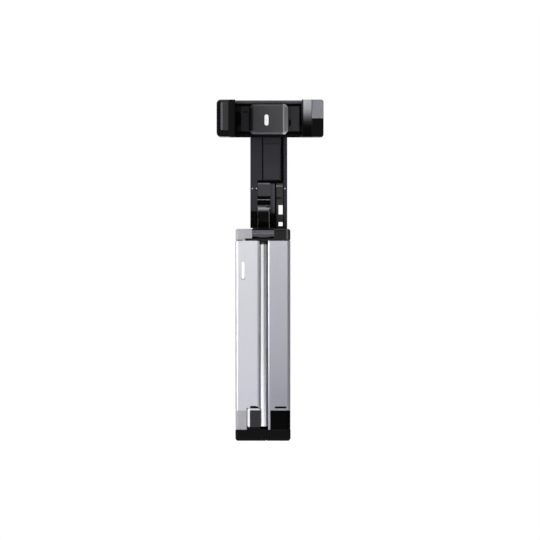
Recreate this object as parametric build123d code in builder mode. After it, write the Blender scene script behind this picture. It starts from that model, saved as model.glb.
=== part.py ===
"""Pocket selfie stick: a five-section pole carried between three fold-out legs,
with a double-hinged arm and a rack-and-pinion phone clamp on top.

Millimetres. +Z is up, +X is to the right and the front of the object faces -Y.
The origin is the middle of the base, on the surface that the closed legs stand on."""

from build123d import *
from math import atan2, cos, degrees, pi, radians, sin, sqrt, tan
import os

os.makedirs("parts", exist_ok=True)


# ---------------------------------------------------------------- driving sizes

# body: three legs closed round the pole
body_width = 35.5
body_depth = 24.0
body_corner = 2.0
shell_wall = 1.3
leg_top = 129.7
front_gap = 5.1  # slot between the two front legs
gap_shift = 0.45  # the slot's middle, to the right of the body's
lip_thickness = 1.8
lip_width = 2.5
lip_fillet = 1.5
leg_gap = 0.3  # between the closed legs
rear_leg_width = 26.0
rear_leg_depth = 6.5
rear_corner = 1.0
core_top_drop = 9.7  # leg core's top, under the leg pins
pin_drop = 8.0  # leg pins, under the top of the legs
pin_inset = 3.15  # leg pins, in from the outer face
pin_radius = 0.8
ear_top = 1.9  # leg ear above its pin
return_drop = 0.5  # front leg's rear return ends this far under the pin
ear_width = 3.85
front_ear_thickness = 2.2
rear_ear_thickness = 3.0
rear_leg_ear_width = 3.1

# feet
foot_height = 7.3
foot_proud_side = 0.25
foot_proud_front = 0.2
foot_fillet = 2.0
foot_seam = 0.6
foot_seam_x = 2.2  # the seam between the front feet, off the middle
foot_peg_radius = 2.0
foot_peg_length = 3.6

# leg ends and the raised grip
end_height = 12.5
end_seam = 0.2
left_end_width = 7.15
right_end_strip = 1.95  # skin left between the slot and the right end
grip_height = 12.0
grip_lift = 1.8  # over the foot
grip_proud = 0.4
grip_bevel = 1.9
grip_edge = 0.3
grip_overhang = 0.2  # past the lip of the leg
end_slot_height = 0.8
left_slot_width = 4.4
right_slot_width = 7.0
slot_lift = 1.4  # shell slot over the leg end

# pole
tube_diameters = [11.6, 9.8, 8.0, 6.2, 4.4]
tube_wall = 0.45
pole_front_gap = 1.1  # pole to the front legs' inner wall
pole_core_gap = 0.5  # pole to the leg cores' bore
pole_bottom = 9.4
tube_step = 0.6  # each inner section stands this much higher
first_tube_drop = 2.3  # outermost section's top, under the leg tops
bush_length = 8.0
bush_flange = 0.5
guide_length = 7.5
slide_clearance = 0.05
pole_plug_thickness = 2.0

# hub on top of the outermost section
hub_lift = 1.0  # over the leg cores
hub_top_drop = 0.5  # under the leg tops
hub_half_width = 9.5
hub_front = 3.2  # in front of the pole's axis
hub_back = 8.8  # behind the pole's axis
hub_plate = 3.0
hub_ear_gap = 0.2
lug_length = 6.0
lug_radius = 1.6
pin_clearance = 0.05
rear_lug_half = 8.0
hub_fit = 0.3

# shutter button and remote in the left leg
button_width = 2.4
button_height = 11.7
button_inset = 4.85  # its middle, in from the leg's outer face
button_drop = 19.2  # its middle, under the top of the legs
button_proud = 0.15
button_flange = 0.5
button_rim = 0.45
button_travel = 0.5
button_clearance = 0.1
remote_width = 5.8
remote_height = 42.0
remote_depth = 3.1
board_thickness = 0.8
board_edge_gap = 0.3
battery_height = 20.0
battery_thickness = 2.0
switch_height = 5.0
switch_width = 3.0

# head base
head_gap = 0.75
head_height = 7.05
head_fillet = 1.5
cap_wall = 1.4
cap_skirt = 6.05  # stretch of the cap that reaches the bottom edge
cap_step = 0.85
socket_depth = 1.05  # innermost tube in the head base
plug_length = 12.0
plug_flat = 1.1  # plug's front flat, in front of the pole's axis
plug_rise = 3.4
spigot_reach_left = 11.4  # plate under the head that closes the joint to the legs
spigot_reach_right = 13.2
spigot_gap = 0.15  # over the hub
spigot_wall_gap = 0.3  # to the legs' lips and the rear leg
spigot_bore_gap = 0.4  # round the pole's top bush
corner_tab_gap = 0.6  # behind the part of the leg that isn't cut down
corner_tab_inset = 0.3
corner_tab_notch = 1.2  # the legs' tops are cut down this far behind the tabs

# fold hinge
barrel_radius = 3.1
barrel_inset = 0.1
barrel_clearance = 0.2
fold_pin_radius = 1.25
fold_pin_end_gap = 2.35  # pin's ends, inside the head's walls
notch_floor_cut = 0.5  # opening in the notch's floor, behind the fold axis
left_ring_stretch = 3.76
right_ring_stretch = 3.26
washer_width = 1.6
washer_groove = 0.2
washer_groove_depth = 0.35

# neck link
neck_left = -3.3
neck_right = 4.0
neck_thickness = 4.6
neck_side_gap = 0.04
neck_rise = 17.2
neck_reach = 15.0
neck_relief_y = 6.9  # the neck's upper front is cut back this far from the front face
neck_relief_z = 0.8  # and from this height over the head base
tilt_knuckle_radius = 2.3
tilt_pin_radius = 0.9
tilt_washer_length = 2.55

# arm
arm_width = 24.0
arm_thickness = 5.0
arm_axis_x = 3.75
arm_gap = 0.6  # over the head base
back_rib_gap = 0.3  # rib on the head, behind the arm
back_rib_width = 1.2
back_rib_lap = 0.35  # over the arm's lower edge
arm_swivel_height = 209.0
arm_fillet = 1.0
rail_step = 1.0
rail_step_drop = 2.5  # under the tilt axis
arm_back_wall = 1.0
neck_slot_gap = 0.3
bracket_gap = 0.8  # neck to the tilt bracket
bracket_width = 2.9
bracket_top = 15.6
bracket_bottom = 4.2
bracket_front = 0.2
strut_gap = 1.1
strut_rail_gap = 0.5
strut_wall = 1.3
strut_thin_wall = 0.2
strut_front = 0.5
strut_lift = 0.5
window_height = 6.0
window_lift = 8.9
lower_window_height = 2.6
lower_window_lift = 1.3
roller_radius = 0.9
roller_drop = 1.6  # under the strut's top
roller_sink = 0.3  # behind the arm's front
strut_slot_drop = 7.2  # under the roller
strut_slot_height = 1.6
strut_slot_depth = 2.2
strut_slot_wall = 0.8
strut_top_drop = 2.2  # under the top of the bay
right_rail_width = 2.25
bay_top = 31.2  # top of the hinge bay, over the arm's lower end
slot_over_tilt = 1.9  # neck's slot in the arm's back wall, over the tilt axis
stop_block_height = 8.5
stop_block_drop = 1.9  # under the top of the bay
stop_block_inset = 0.2  # behind the arm's front
stop_pin_radius = 0.35
stop_pin_lift = 5.1  # over the tilt axis
stop_pin_inset = 1.5
panel_left = 0.5
panel_width = 10.7
panel_lift = 0.5  # over the hinge bay
panel_top_gap = 4.1  # under the clamp
panel_depth = 1.5
panel_proud = 0.25
panel_seam = 0.15
groove_width = 0.7
groove_depth = 0.8
deep_groove_width = 1.9
deep_groove_depth = 3.0

# clamp
clamp_left = -17.9
clamp_right = 25.0
clamp_arm_gap = 0.3
tray_depth = 5.6
tray_back = 1.2
tray_flange = 2.1
tray_fillet = 0.8
tongue_reach = 0.8  # tongues at the tray's ends, which the closed jaws take in
tongue_thickness = 0.6
tongue_back = 0.5  # in front of the tray's back face
tongue_inset = 0.8  # from the tray's top and bottom
tongue_clearance = 0.1
swivel_radius = 3.0
swivel_clearance = 0.05
swivel_washer_radius = 4.6
swivel_washer_thickness = 0.7
swivel_end_gap = 0.1
screw_head_radius = 3.2
screw_head_height = 0.8
screw_radius = 1.3
screw_length = 5.0
rest_width = 25.3
rest_bottom_lift = 2.0
rest_height = 19.5
rest_thickness = 2.8
rest_corner_cut = 2.0
rest_side_bevel = 2.6
rest_top_bevel = 1.1
rest_rim = 0.8
rest_post_offset = 9.0
rest_post_radius = 1.4
inlay_width = 2.6
inlay_height = 7.2
inlay_offset_x = -1.45
inlay_offset_z = -0.8
inlay_depth = 1.0

# rack and pinion
gear_module = 0.7
pinion_teeth = 12
pressure_angle = 25.0
tooth_backlash = 0.12
addendum_share = 0.8
dedendum_share = 1.1
pinion_axle_radius = 1.2
pinion_axle_clearance = 0.05
rack_thickness = 2.2
rack_back_gap = 0.1
rack_guide_gap = 0.05
rack_end_gap = 0.5
drum_radius = 5.0
drum_thickness = 1.65
drum_rack_gap = 0.2
plate_thickness = 1.1
plate_inner_gap = 0.2
plate_rack_gap = 0.4
plate_margin = 2.0  # slide plate's edges, in from the tray flanges
slide_web = 6.2
left_plate_setback = 3.7  # plate's end, in from the jaw
right_plate_setback = 1.5
plate_slot_width = 2.5
plate_slot_height = 0.8
plate_slot_gap = 1.8  # in from the left plate's end
plate_slot_lift = 4.5  # over the swivel axis
plate_notch_width = 1.2
plate_notch_height = 4.1
plate_notch_gap = 0.5  # out from the phone rest
plate_notch_drop = 0.4  # its top, under the swivel axis
plate_tab_width = 1.9
plate_tab_height = 2.6
plate_tab_proud = 0.4
plate_tab_gap = 0.3  # out from the phone rest
plate_tab_drop = 5.1  # its top, under the swivel axis
slide_root = 6.0

# jaws
jaw_gap = 0.08  # closed jaw to the end of the tray
jaw_tip = 22.0  # tip of the jaws, in front of the body's middle
left_jaw_width = 12.0
right_jaw_width = 14.1
left_pad_thickness = 3.7
right_pad_thickness = 6.5
left_jaw_corner = 2.7
right_jaw_corner = 1.5
pad_hollow = 1.2
pad_tip_land = 3.5
pad_root_land = 9.5
pad_groove_depth = 0.4
pad_groove_width = 0.8
pad_grooves = 4
tip_width = 5.1
tip_height = 18.2
tip_proud = 0.4
tip_seat = 1.0
tip_inset = 2.7
tip_lift = 4.2
ridge_fall = 0.35


# ------------------------------------------------------- places that follow them

half_width = body_width / 2
half_depth = body_depth / 2
left_gap_edge = front_gap / 2 - gap_shift
right_gap_edge = front_gap / 2 + gap_shift
inner_side = half_width - shell_wall
inner_front = -half_depth + shell_wall
rear_half = rear_leg_width / 2
rear_front = half_depth - rear_leg_depth
rear_inner = half_depth - shell_wall
rib_inner = rear_half + leg_gap
core_back = rear_front - leg_gap

pin_z = leg_top - pin_drop
pin_x = half_width - pin_inset
pin_y = half_depth - pin_inset
core_top = pin_z - core_top_drop
ear_inner = inner_side - ear_width

pole_radius = tube_diameters[0] / 2
pole_y = inner_front + pole_front_gap + pole_radius
core_bore = pole_radius + pole_core_gap
tube_tops = [leg_top - first_tube_drop + tube_step * i for i in range(4)]
pole_floor = pole_bottom + pole_plug_thickness

hub_bottom = core_top + hub_lift
hub_top = leg_top - hub_top_drop
hub_front_y = pole_y - hub_front
hub_back_y = pole_y + hub_back
front_ear_back = hub_front_y - hub_ear_gap
front_ear_front = front_ear_back - front_ear_thickness
rear_ear_front = hub_front_y + lug_length + hub_ear_gap
rear_ear_back = rear_ear_front + rear_ear_thickness

head_bottom = leg_top + head_gap
head_top = head_bottom + head_height
head_socket_top = head_bottom + socket_depth
fold_y = -half_depth + barrel_inset + barrel_radius
fold_z = head_top - barrel_inset - barrel_radius
fold_pin_half = half_width - cap_wall - fold_pin_end_gap
notch_left = neck_left - neck_side_gap - left_ring_stretch
notch_right = neck_right + neck_side_gap + right_ring_stretch
cap_inner = notch_left  # the side cap reaches from the left face to the hinge barrel
tilt_y = fold_y + neck_reach
tilt_z = fold_z + neck_rise

arm_bottom = head_top + arm_gap
arm_left = arm_axis_x - arm_width / 2
arm_right = arm_axis_x + arm_width / 2
arm_front = tilt_y - arm_thickness / 2
arm_back = tilt_y + arm_thickness / 2
arm_floor = arm_back - arm_back_wall
bay_left = neck_left - neck_slot_gap
bay_right = arm_right - right_rail_width
bracket_left = neck_right + bracket_gap
bracket_right = bracket_left + bracket_width
strut_left = bracket_right + strut_gap
strut_right = bay_right - strut_rail_gap

tray_y1 = arm_front - clamp_arm_gap
tray_y0 = tray_y1 - tray_depth
tray_floor = tray_y1 - tray_back
tongue_y1 = tray_y1 - tongue_back
tongue_y0 = tongue_y1 - tongue_thickness
clamp_bottom = arm_swivel_height - arm_width / 2
clamp_top = arm_swivel_height + arm_width / 2
channel_bottom = clamp_bottom + tray_flange
channel_top = clamp_top - tray_flange

pitch_radius = gear_module * pinion_teeth / 2
tooth_tip = gear_module * addendum_share
tooth_root = gear_module * dedendum_share
rack_y1 = tray_floor - rack_back_gap
rack_y0 = rack_y1 - rack_thickness
rack_pitch = pi * gear_module
plate_y1 = rack_y0 - plate_rack_gap
plate_y0 = plate_y1 - plate_thickness
plate_top = channel_top - plate_margin + plate_inner_gap
plate_bottom = channel_bottom + plate_margin - plate_inner_gap

left_jaw_face = clamp_left - jaw_gap
right_jaw_face = clamp_right + jaw_gap


# -------------------------------------------------------------------- small tools


def block(x0, x1, y0, y1, z0, z1, mode=Mode.ADD):
    """A rectangular block from corner to corner in the part being built."""
    with Locations(((x0 + x1) / 2, (y0 + y1) / 2, (z0 + z1) / 2)):
        Box(abs(x1 - x0), abs(y1 - y0), abs(z1 - z0), mode=mode)


def rod_x(x0, x1, y, z, radius, mode=Mode.ADD):
    """A cylinder along X in the part being built."""
    with Locations(((x0 + x1) / 2, y, z)):
        Cylinder(radius, abs(x1 - x0), rotation=(0, 90, 0), mode=mode)


def rod_y(x, y0, y1, z, radius, mode=Mode.ADD):
    """A cylinder along Y in the part being built."""
    with Locations((x, (y0 + y1) / 2, z)):
        Cylinder(radius, abs(y1 - y0), rotation=(90, 0, 0), mode=mode)


def rod_z(x, y, z0, z1, radius, mode=Mode.ADD):
    """A cylinder along Z in the part being built."""
    with Locations((x, y, (z0 + z1) / 2)):
        Cylinder(radius, abs(z1 - z0), mode=mode)


def slab_y(x0, x1, z0, z1, y0, y1, corner, mode=Mode.ADD):
    """A plate facing Y with rounded corners, in the part being built."""
    with BuildSketch(Plane.XZ.offset(-y1)) as outline:
        with Locations(((x0 + x1) / 2, (z0 + z1) / 2)):
            RectangleRounded(x1 - x0, z1 - z0, corner)
    extrude(outline.sketch, amount=y1 - y0, mode=mode)


def upright_edges(x, y):
    """Selects the edges along Z that stand at x, y in the part being built."""

    def stands(edge):
        middle = edge.position_at(0.5)
        return abs(middle.X - x) < 0.02 and abs(middle.Y - y) < 0.02

    return [edge for edge in edges().filter_by(Axis.Z) if stands(edge)]


def save(part, name):
    """Labels a finished piece and writes its STEP file."""
    part.label = name
    export_step(part, f"parts/{name}.step")


def save_left(part, name):
    """Writes the left-hand twin of a piece that was built on the right."""
    save(part.mirror(Plane.YZ), name)


# ------------------------------------------------------------- telescoping pole


def tube(outer_radius, z0, z1):
    """One drawn section of the pole."""
    with BuildPart() as section:
        with BuildSketch(Plane.XY.offset(z0)):
            with Locations((0, pole_y)):
                Circle(outer_radius)
                Circle(outer_radius - tube_wall, mode=Mode.SUBTRACT)
        extrude(amount=z1 - z0)
    return section.part


def flanged_bush(bore_radius, seat_radius, flange_radius, z1):
    """The plastic bush pressed into the top of a section, which the next one slides in."""
    with BuildPart() as bush:
        rod_z(0, pole_y, z1 - bush_length, z1, seat_radius)
        rod_z(0, pole_y, z1, z1 + bush_flange, flange_radius)
        rod_z(0, pole_y, z1 - bush_length, z1 + bush_flange, bore_radius, mode=Mode.SUBTRACT)
    return bush.part


def guide_ring(inner_radius, outer_radius):
    """The ring at the foot of an inner section: it guides it, and meets the bush at full reach."""
    with BuildPart() as guide:
        rod_z(0, pole_y, pole_floor, pole_floor + guide_length, outer_radius)
        rod_z(0, pole_y, pole_floor, pole_floor + guide_length, inner_radius, mode=Mode.SUBTRACT)
    return guide.part


tube_radii = [diameter / 2 for diameter in tube_diameters]
save(tube(tube_radii[0], pole_bottom, tube_tops[0]), "tube_1")
for number in range(2, 6):
    radius = tube_radii[number - 1]
    outside = tube_radii[number - 2]
    top = tube_tops[number - 1] if number < 5 else head_socket_top
    save(tube(radius, pole_floor + slide_clearance, top), f"tube_{number}")
    with BuildPart() as guide:
        add(guide_ring(radius, outside - tube_wall - slide_clearance).moved(Pos(0, 0, slide_clearance)))
    save(guide.part, f"tube_{number}_guide")
    bush_part = flanged_bush(radius + slide_clearance, outside - tube_wall, outside, tube_tops[number - 2])
    save(bush_part, f"tube_{number - 1}_bush")

with BuildPart() as pole_plug:
    rod_z(0, pole_y, pole_bottom, pole_floor, pole_radius - tube_wall)
    chamfer(edges().group_by(Axis.Z)[0], 0.5)
save(pole_plug.part, "pole_bottom_plug")


# ------------------------------------------------------------------ hub and pins

with BuildPart() as hub:
    # collar round the back of the outermost section
    with BuildSketch(Plane.XY.offset(hub_bottom)):
        with Locations((0, (hub_front_y + hub_back_y) / 2)):
            RectangleRounded(2 * hub_half_width, hub_back_y - hub_front_y, 1.5)
    extrude(amount=hub_top - hub_bottom)
    # cover plate between the leg tops
    plate_side = inner_side - 3.0
    plate_front = inner_front + hub_fit
    rear_clear = rear_half - shell_wall - hub_fit
    with BuildSketch(Plane.XY.offset(hub_top - hub_plate)):
        with Locations((0, (plate_front + rear_ear_back) / 2)):
            RectangleRounded(2 * plate_side, rear_ear_back - plate_front, 1.0)
        with Locations((0, (pole_y + rear_inner - 3.1) / 2)):
            Rectangle(2 * rear_clear, rear_inner - 3.1 - pole_y)
    extrude(amount=hub_plate)
    block(
        -core_bore, core_bore, plate_front - 1, hub_front_y, hub_top - hub_plate, hub_top,
        mode=Mode.SUBTRACT,
    )
    # lugs for the two front legs, tapering up from the collar
    for side in (-1, 1):
        with BuildSketch(Plane.XZ.offset(-(hub_front_y + lug_length))):
            with BuildLine():
                Polyline(
                    (side * (hub_half_width - 1), pin_z - 7.0),
                    (side * pin_x, pin_z - lug_radius),
                    (side * pin_x, pin_z + lug_radius),
                    (side * (hub_half_width - 1), pin_z + lug_radius + 1.2),
                    close=True,
                )
            make_face()
            with Locations((side * pin_x, pin_z)):
                Circle(lug_radius)
        extrude(amount=lug_length)
        rod_y(side * pin_x, hub_front_y, hub_front_y + lug_length, pin_z, pin_radius, mode=Mode.SUBTRACT)
    # lug for the rear leg
    with BuildSketch(Plane.YZ.offset(-rear_lug_half)):
        with BuildLine():
            Polyline(
                (hub_back_y - 1, pin_z - 6.0),
                (pin_y, pin_z - lug_radius),
                (pin_y, pin_z + lug_radius),
                (rear_inner - 3.1, hub_top - hub_plate),
                (hub_back_y - 1, hub_top - hub_plate),
                close=True,
            )
        make_face()
        with Locations((pin_y, pin_z)):
            Circle(lug_radius)
    extrude(amount=2 * rear_lug_half)
    rod_x(-rear_lug_half, rear_lug_half, pin_y, pin_z, pin_radius, mode=Mode.SUBTRACT)
    rod_z(0, pole_y, hub_bottom - 1, hub_top + 1, pole_radius, mode=Mode.SUBTRACT)
save(hub.part, "hub")

with BuildPart() as leg_pins:
    for side in (-1, 1):
        rod_y(side * pin_x, front_ear_front + 0.2, rear_ear_back, pin_z, pin_radius)
    rod_x(-rear_half + shell_wall + 0.3, rear_half - shell_wall - 0.3, pin_y, pin_z, pin_radius)
save(leg_pins.part, "leg_pins")


# ------------------------------------------------------- the two front legs

end_top = foot_height + end_height
grip_bottom = foot_height + grip_lift
grip_top = grip_bottom + grip_height
left_end_inner = half_width - left_end_width
right_end_inner = right_gap_edge + right_end_strip
grip_outer = left_end_inner - end_seam
grip_inner = left_gap_edge - grip_overhang
slot_bottom = end_top + slot_lift
slot_top = slot_bottom + end_slot_height
button_x = half_width - button_inset
button_z = leg_top - button_drop
remote_top = core_top
remote_bottom = remote_top - remote_height
remote_floor = inner_front + remote_depth
remote_outer = inner_side - 0.95
remote_inner = remote_outer - remote_width


def open_rear_return():
    """Cuts away the rear return above the pins, where it would swing into the rear leg,
    and cuts the side wall down behind, where it would swing into the head's corner tab."""
    block(
        -1, inner_side, core_back, half_depth + 1, pin_z - return_drop, leg_top + 1,
        mode=Mode.SUBTRACT,
    )
    block(
        inner_side - 1, half_width + 1, core_back, half_depth + 1, leg_top - corner_tab_notch, leg_top + 1,
        mode=Mode.SUBTRACT,
    )


def front_leg_wall(gap_edge):
    """Profile of a right-hand front leg's skin: front wall with its lip, side wall, rear return."""
    with BuildSketch() as wall:
        with Locations((half_width / 2, 0)):
            Rectangle(half_width, body_depth)
        outer_corners = wall.vertices().group_by(Axis.X)[-1]
        fillet(outer_corners, body_corner)
        with Locations((inner_side / 2, 0)):
            RectangleRounded(inner_side, 2 * rear_inner, body_corner - shell_wall, mode=Mode.SUBTRACT)
        with Locations(((rib_inner) / 2, half_depth)):
            Rectangle(rib_inner, 2 * (half_depth - core_back), mode=Mode.SUBTRACT)
        with Locations((gap_edge / 2, 0)):
            Rectangle(gap_edge, body_depth, mode=Mode.SUBTRACT)
        with Locations((gap_edge + lip_width / 2, -half_depth + lip_thickness / 2)):
            Rectangle(lip_width, lip_thickness)
    return wall.sketch


def front_leg_filling(gap_edge):
    """Profile of a right-hand front leg's core: all that the skin wraps, clear of the pole."""
    with BuildSketch() as filling:
        with Locations((inner_side / 2, 0)):
            RectangleRounded(inner_side, 2 * rear_inner, body_corner - shell_wall)
        with Locations((rib_inner / 2, half_depth)):
            Rectangle(rib_inner, 2 * (half_depth - core_back), mode=Mode.SUBTRACT)
        with Locations((0, pole_y)):
            Circle(core_bore, mode=Mode.SUBTRACT)
        with Locations((core_bore / 2, pole_y + half_depth)):
            Rectangle(core_bore, 2 * half_depth, mode=Mode.SUBTRACT)
        with Locations(((gap_edge + leg_gap) / 2, 0)):
            Rectangle(gap_edge + leg_gap, body_depth, mode=Mode.SUBTRACT)
        with Locations((lip_width / 2 + gap_edge, -half_depth + lip_thickness / 2)):
            Rectangle(lip_width, lip_thickness, mode=Mode.SUBTRACT)
    return filling.sketch


right_wall = front_leg_wall(right_gap_edge)
left_wall = front_leg_wall(left_gap_edge)

# right leg's skin, a drawn aluminium section
with BuildPart() as right_shell:
    add(right_wall.moved(Pos(0, 0, foot_height)))
    extrude(amount=leg_top - foot_height)
    fillet(upright_edges(right_gap_edge, -half_depth), lip_fillet)
    open_rear_return()
    # the end cap takes the place of the skin at the foot
    block(
        right_end_inner - end_seam, half_width + 1, -half_depth - 1, half_depth + 1,
        foot_height - 1, end_top, mode=Mode.SUBTRACT,
    )
    slab_y(
        right_end_inner + 2.9, right_end_inner + 2.9 + right_slot_width, slot_bottom, slot_top,
        -half_depth - 1, inner_front, end_slot_height / 2 - 0.05, mode=Mode.SUBTRACT,
    )
save(right_shell.part, "right_leg_shell")

# left leg's skin: it also clears the grip and the shutter button
with BuildPart() as left_shell_twin:
    add(left_wall.moved(Pos(0, 0, foot_height)))
    extrude(amount=leg_top - foot_height)
    fillet(upright_edges(left_gap_edge, -half_depth), lip_fillet)
    open_rear_return()
    block(
        -1, half_width + 1, -half_depth - 1, half_depth + 1,
        foot_height - 1, end_top, mode=Mode.SUBTRACT,
    )
    block(
        -1, grip_outer + end_seam, -half_depth - 1, inner_front + lip_thickness,
        foot_height - 1, grip_top + end_seam, mode=Mode.SUBTRACT,
    )
    slot_middle = (grip_outer + grip_inner) / 2
    slab_y(
        slot_middle - left_slot_width / 2, slot_middle + left_slot_width / 2,
        grip_top, grip_top + 2 * end_slot_height, -half_depth - 1, inner_front,
        end_slot_height / 2, mode=Mode.SUBTRACT,
    )
    with BuildSketch(Plane.XZ.offset(half_depth + 1)):
        with Locations((button_x, button_z)):
            SlotOverall(
                button_height + 2 * button_clearance, button_width + 2 * button_clearance, rotation=90
            )
    extrude(amount=-(shell_wall + 1), mode=Mode.SUBTRACT)
save_left(left_shell_twin.part, "left_leg_shell")


def front_leg_core(gap_edge):
    """A right-hand front leg's moulded core with its two hinge ears and the foot's peg."""
    with BuildPart() as core:
        add(front_leg_filling(gap_edge).moved(Pos(0, 0, foot_height)))
        extrude(amount=core_top - foot_height)
        for y0, y1 in (
            (front_ear_front, front_ear_back),
            (rear_ear_front, rear_ear_back),
        ):
            slab_y(ear_inner, inner_side, core_top - 3.0, pin_z + ear_top, y0, y1, ear_top - 0.1)
            rod_y(pin_x, y0 - 0.1, y1 + 0.1, pin_z, pin_radius + pin_clearance, mode=Mode.SUBTRACT)
        rod_z(
            (core_bore + inner_side) / 2, pole_y, foot_height - foot_peg_length, foot_height + 0.5,
            foot_peg_radius,
        )
    return core.part


save(front_leg_core(right_gap_edge), "right_leg_core")

with BuildPart() as left_core_twin:
    add(front_leg_core(left_gap_edge))
    # bay for the remote, open to the front under the skin
    block(
        remote_inner, remote_outer, inner_front - 1, remote_floor, remote_bottom, remote_top + 0.1,
        mode=Mode.SUBTRACT,
    )
save_left(left_core_twin.part, "left_leg_core")

# leg ends: moulded caps that carry the skin's outline down to the feet
with BuildPart() as right_end:
    add(right_wall.moved(Pos(0, 0, foot_height)))
    extrude(amount=end_height)
    block(
        -1, right_end_inner, -half_depth - 1, half_depth + 1, foot_height - 1, end_top + 1,
        mode=Mode.SUBTRACT,
    )
save(right_end.part, "right_leg_end")

with BuildPart() as left_end_twin:
    add(left_wall.moved(Pos(0, 0, foot_height)))
    extrude(amount=end_height)
    block(
        -1, left_end_inner, -half_depth - 1, half_depth + 1, foot_height - 1, end_top + 1,
        mode=Mode.SUBTRACT,
    )
save_left(left_end_twin.part, "left_leg_end")

# raised grip on the left leg, bevelled along its outer edge
with BuildPart() as grip_twin:
    slab_y(
        grip_inner, grip_outer, grip_bottom, grip_top, -half_depth - grip_proud, inner_front, 1.2
    )
    with BuildSketch(Plane.XY.offset(grip_bottom - 1)):
        with BuildLine():
            Polyline(
                (grip_outer - grip_bevel, -half_depth - grip_proud),
                (grip_outer + 1, -half_depth - grip_proud),
                (grip_outer + 1, inner_front - grip_edge),
                (grip_outer, inner_front - grip_edge),
                close=True,
            )
        make_face()
    extrude(amount=grip_height + 2, mode=Mode.SUBTRACT)
save_left(grip_twin.part, "left_grip_block")


def front_foot(seam_x):
    """A right-hand front foot: a rubber shoe under the leg, as wide as from its seam to the side."""
    foot_side = half_width + foot_proud_side
    foot_face = half_depth + foot_proud_front
    with BuildPart() as foot:
        with BuildSketch():
            with Locations((foot_side / 2, 0)):
                Rectangle(foot_side, 2 * foot_face)
            fillet(vertices().group_by(Axis.X)[-1], body_corner + foot_proud_side)
            with Locations((rib_inner / 2, core_back + half_depth)):
                Rectangle(rib_inner, 2 * half_depth, mode=Mode.SUBTRACT)
        extrude(amount=foot_height)
        inner_cut = max(seam_x, 0)
        if seam_x > 0:
            block(-1, inner_cut, -half_depth - 1, half_depth + 1, -1, foot_height + 1, mode=Mode.SUBTRACT)
        else:
            block(seam_x, 1, -foot_face, core_back, 0, foot_height)
        bottom = faces().sort_by(Axis.Z)[0]
        outside = bottom.edges().filter_by(lambda edge: reaches_outside(edge, foot_side, foot_face))
        fillet(outside, foot_fillet)
        rod_z(
            (core_bore + inner_side) / 2, pole_y, foot_height - foot_peg_length, foot_height + 1,
            foot_peg_radius, mode=Mode.SUBTRACT,
        )
    return foot


def reaches_outside(edge, foot_side, foot_face):
    """True for the edges of a foot's underside that run along its outer outline."""
    middle = edge.position_at(0.5)
    round_corner = body_corner + foot_proud_side
    at_side = middle.X > foot_side - round_corner
    return abs(middle.Y) > foot_face - round_corner and (
        abs(abs(middle.Y) - foot_face) < 0.01 or at_side
    ) or at_side


right_foot = front_foot(foot_seam_x + foot_seam / 2)
save(right_foot.part, "right_foot")
left_foot_twin = front_foot(-(foot_seam_x - foot_seam / 2))
with BuildPart() as left_foot:
    add(left_foot_twin.part)
    # tongue that rises under the grip
    block(
        grip_inner, grip_outer, -half_depth - foot_proud_front, inner_front,
        foot_height - 0.5, grip_bottom - 0.1,
    )
save_left(left_foot.part, "left_foot")


# -------------------------------------------------------------------- rear leg

with BuildPart() as rear_shell:
    with BuildSketch(Plane.XY.offset(foot_height)):
        with Locations((0, (rear_front + half_depth) / 2)):
            Rectangle(rear_leg_width, rear_leg_depth)
        fillet(vertices().group_by(Axis.Y)[-1], rear_corner)
        with Locations((0, (rear_front + rear_inner) / 2)):
            Rectangle(rear_leg_width - 2 * shell_wall, rear_inner - rear_front, mode=Mode.SUBTRACT)
    extrude(amount=leg_top - foot_height)
save(rear_shell.part, "rear_leg_shell")

with BuildPart() as rear_core:
    rear_inside = rear_half - shell_wall
    block(-rear_inside, rear_inside, rear_front, rear_inner, foot_height, core_top)
    for side in (-1, 1):
        with BuildSketch(Plane.YZ.offset(side * rear_inside)):
            with Locations((pin_y, (core_top + pin_z) / 2 - 1.5)):
                Rectangle(2 * (rear_inner - pin_y), pin_z - core_top + 3.0)
            with Locations((pin_y, pin_z)):
                Circle(rear_inner - pin_y)
        extrude(amount=-side * rear_leg_ear_width)
    rod_x(-rear_inside, rear_inside, pin_y, pin_z, pin_radius + pin_clearance, mode=Mode.SUBTRACT)
    rod_z(0, (rear_front + rear_inner) / 2, foot_height - foot_peg_length, foot_height + 0.5, foot_peg_radius)
save(rear_core.part, "rear_leg_core")

with BuildPart() as rear_foot:
    rear_face = half_depth + foot_proud_front
    block(-rear_half, rear_half, rear_front, rear_face, 0, foot_height)
    fillet(edges().filter_by(Axis.Z).group_by(Axis.Y)[-1], rear_corner)
    fillet(edges().group_by(Axis.Z)[0].group_by(Axis.Y)[-1], rear_corner - 0.1)
    rod_z(
        0, (rear_front + rear_inner) / 2, foot_height - foot_peg_length, foot_height + 1,
        foot_peg_radius, mode=Mode.SUBTRACT,
    )
save(rear_foot.part, "rear_foot")


# -------------------------------------------------- remote inside the left leg

board_front = remote_floor - board_thickness
with BuildPart() as board_twin:
    block(
        remote_inner + board_edge_gap, remote_outer - board_edge_gap, board_front, remote_floor,
        remote_bottom + board_edge_gap, remote_top - board_edge_gap,
    )
save_left(board_twin.part, "remote_board")

with BuildPart() as battery_twin:
    slab_y(
        remote_inner + 2 * board_edge_gap, remote_outer - 2 * board_edge_gap,
        remote_bottom + 2 * board_edge_gap, remote_bottom + 2 * board_edge_gap + battery_height,
        board_front - battery_thickness, board_front, 0.6,
    )
save_left(battery_twin.part, "remote_battery")

button_flange_front = inner_front + slide_clearance
button_back = button_flange_front + button_flange
switch_front = button_back + button_travel + slide_clearance
switch_z = min(button_z, remote_top - board_edge_gap - switch_height / 2)
with BuildPart() as switch_twin:
    slab_y(
        button_x - switch_width / 2, button_x + switch_width / 2,
        switch_z - switch_height / 2, switch_z + switch_height / 2, switch_front, board_front, 0.4,
    )
save_left(switch_twin.part, "remote_switch")

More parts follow.
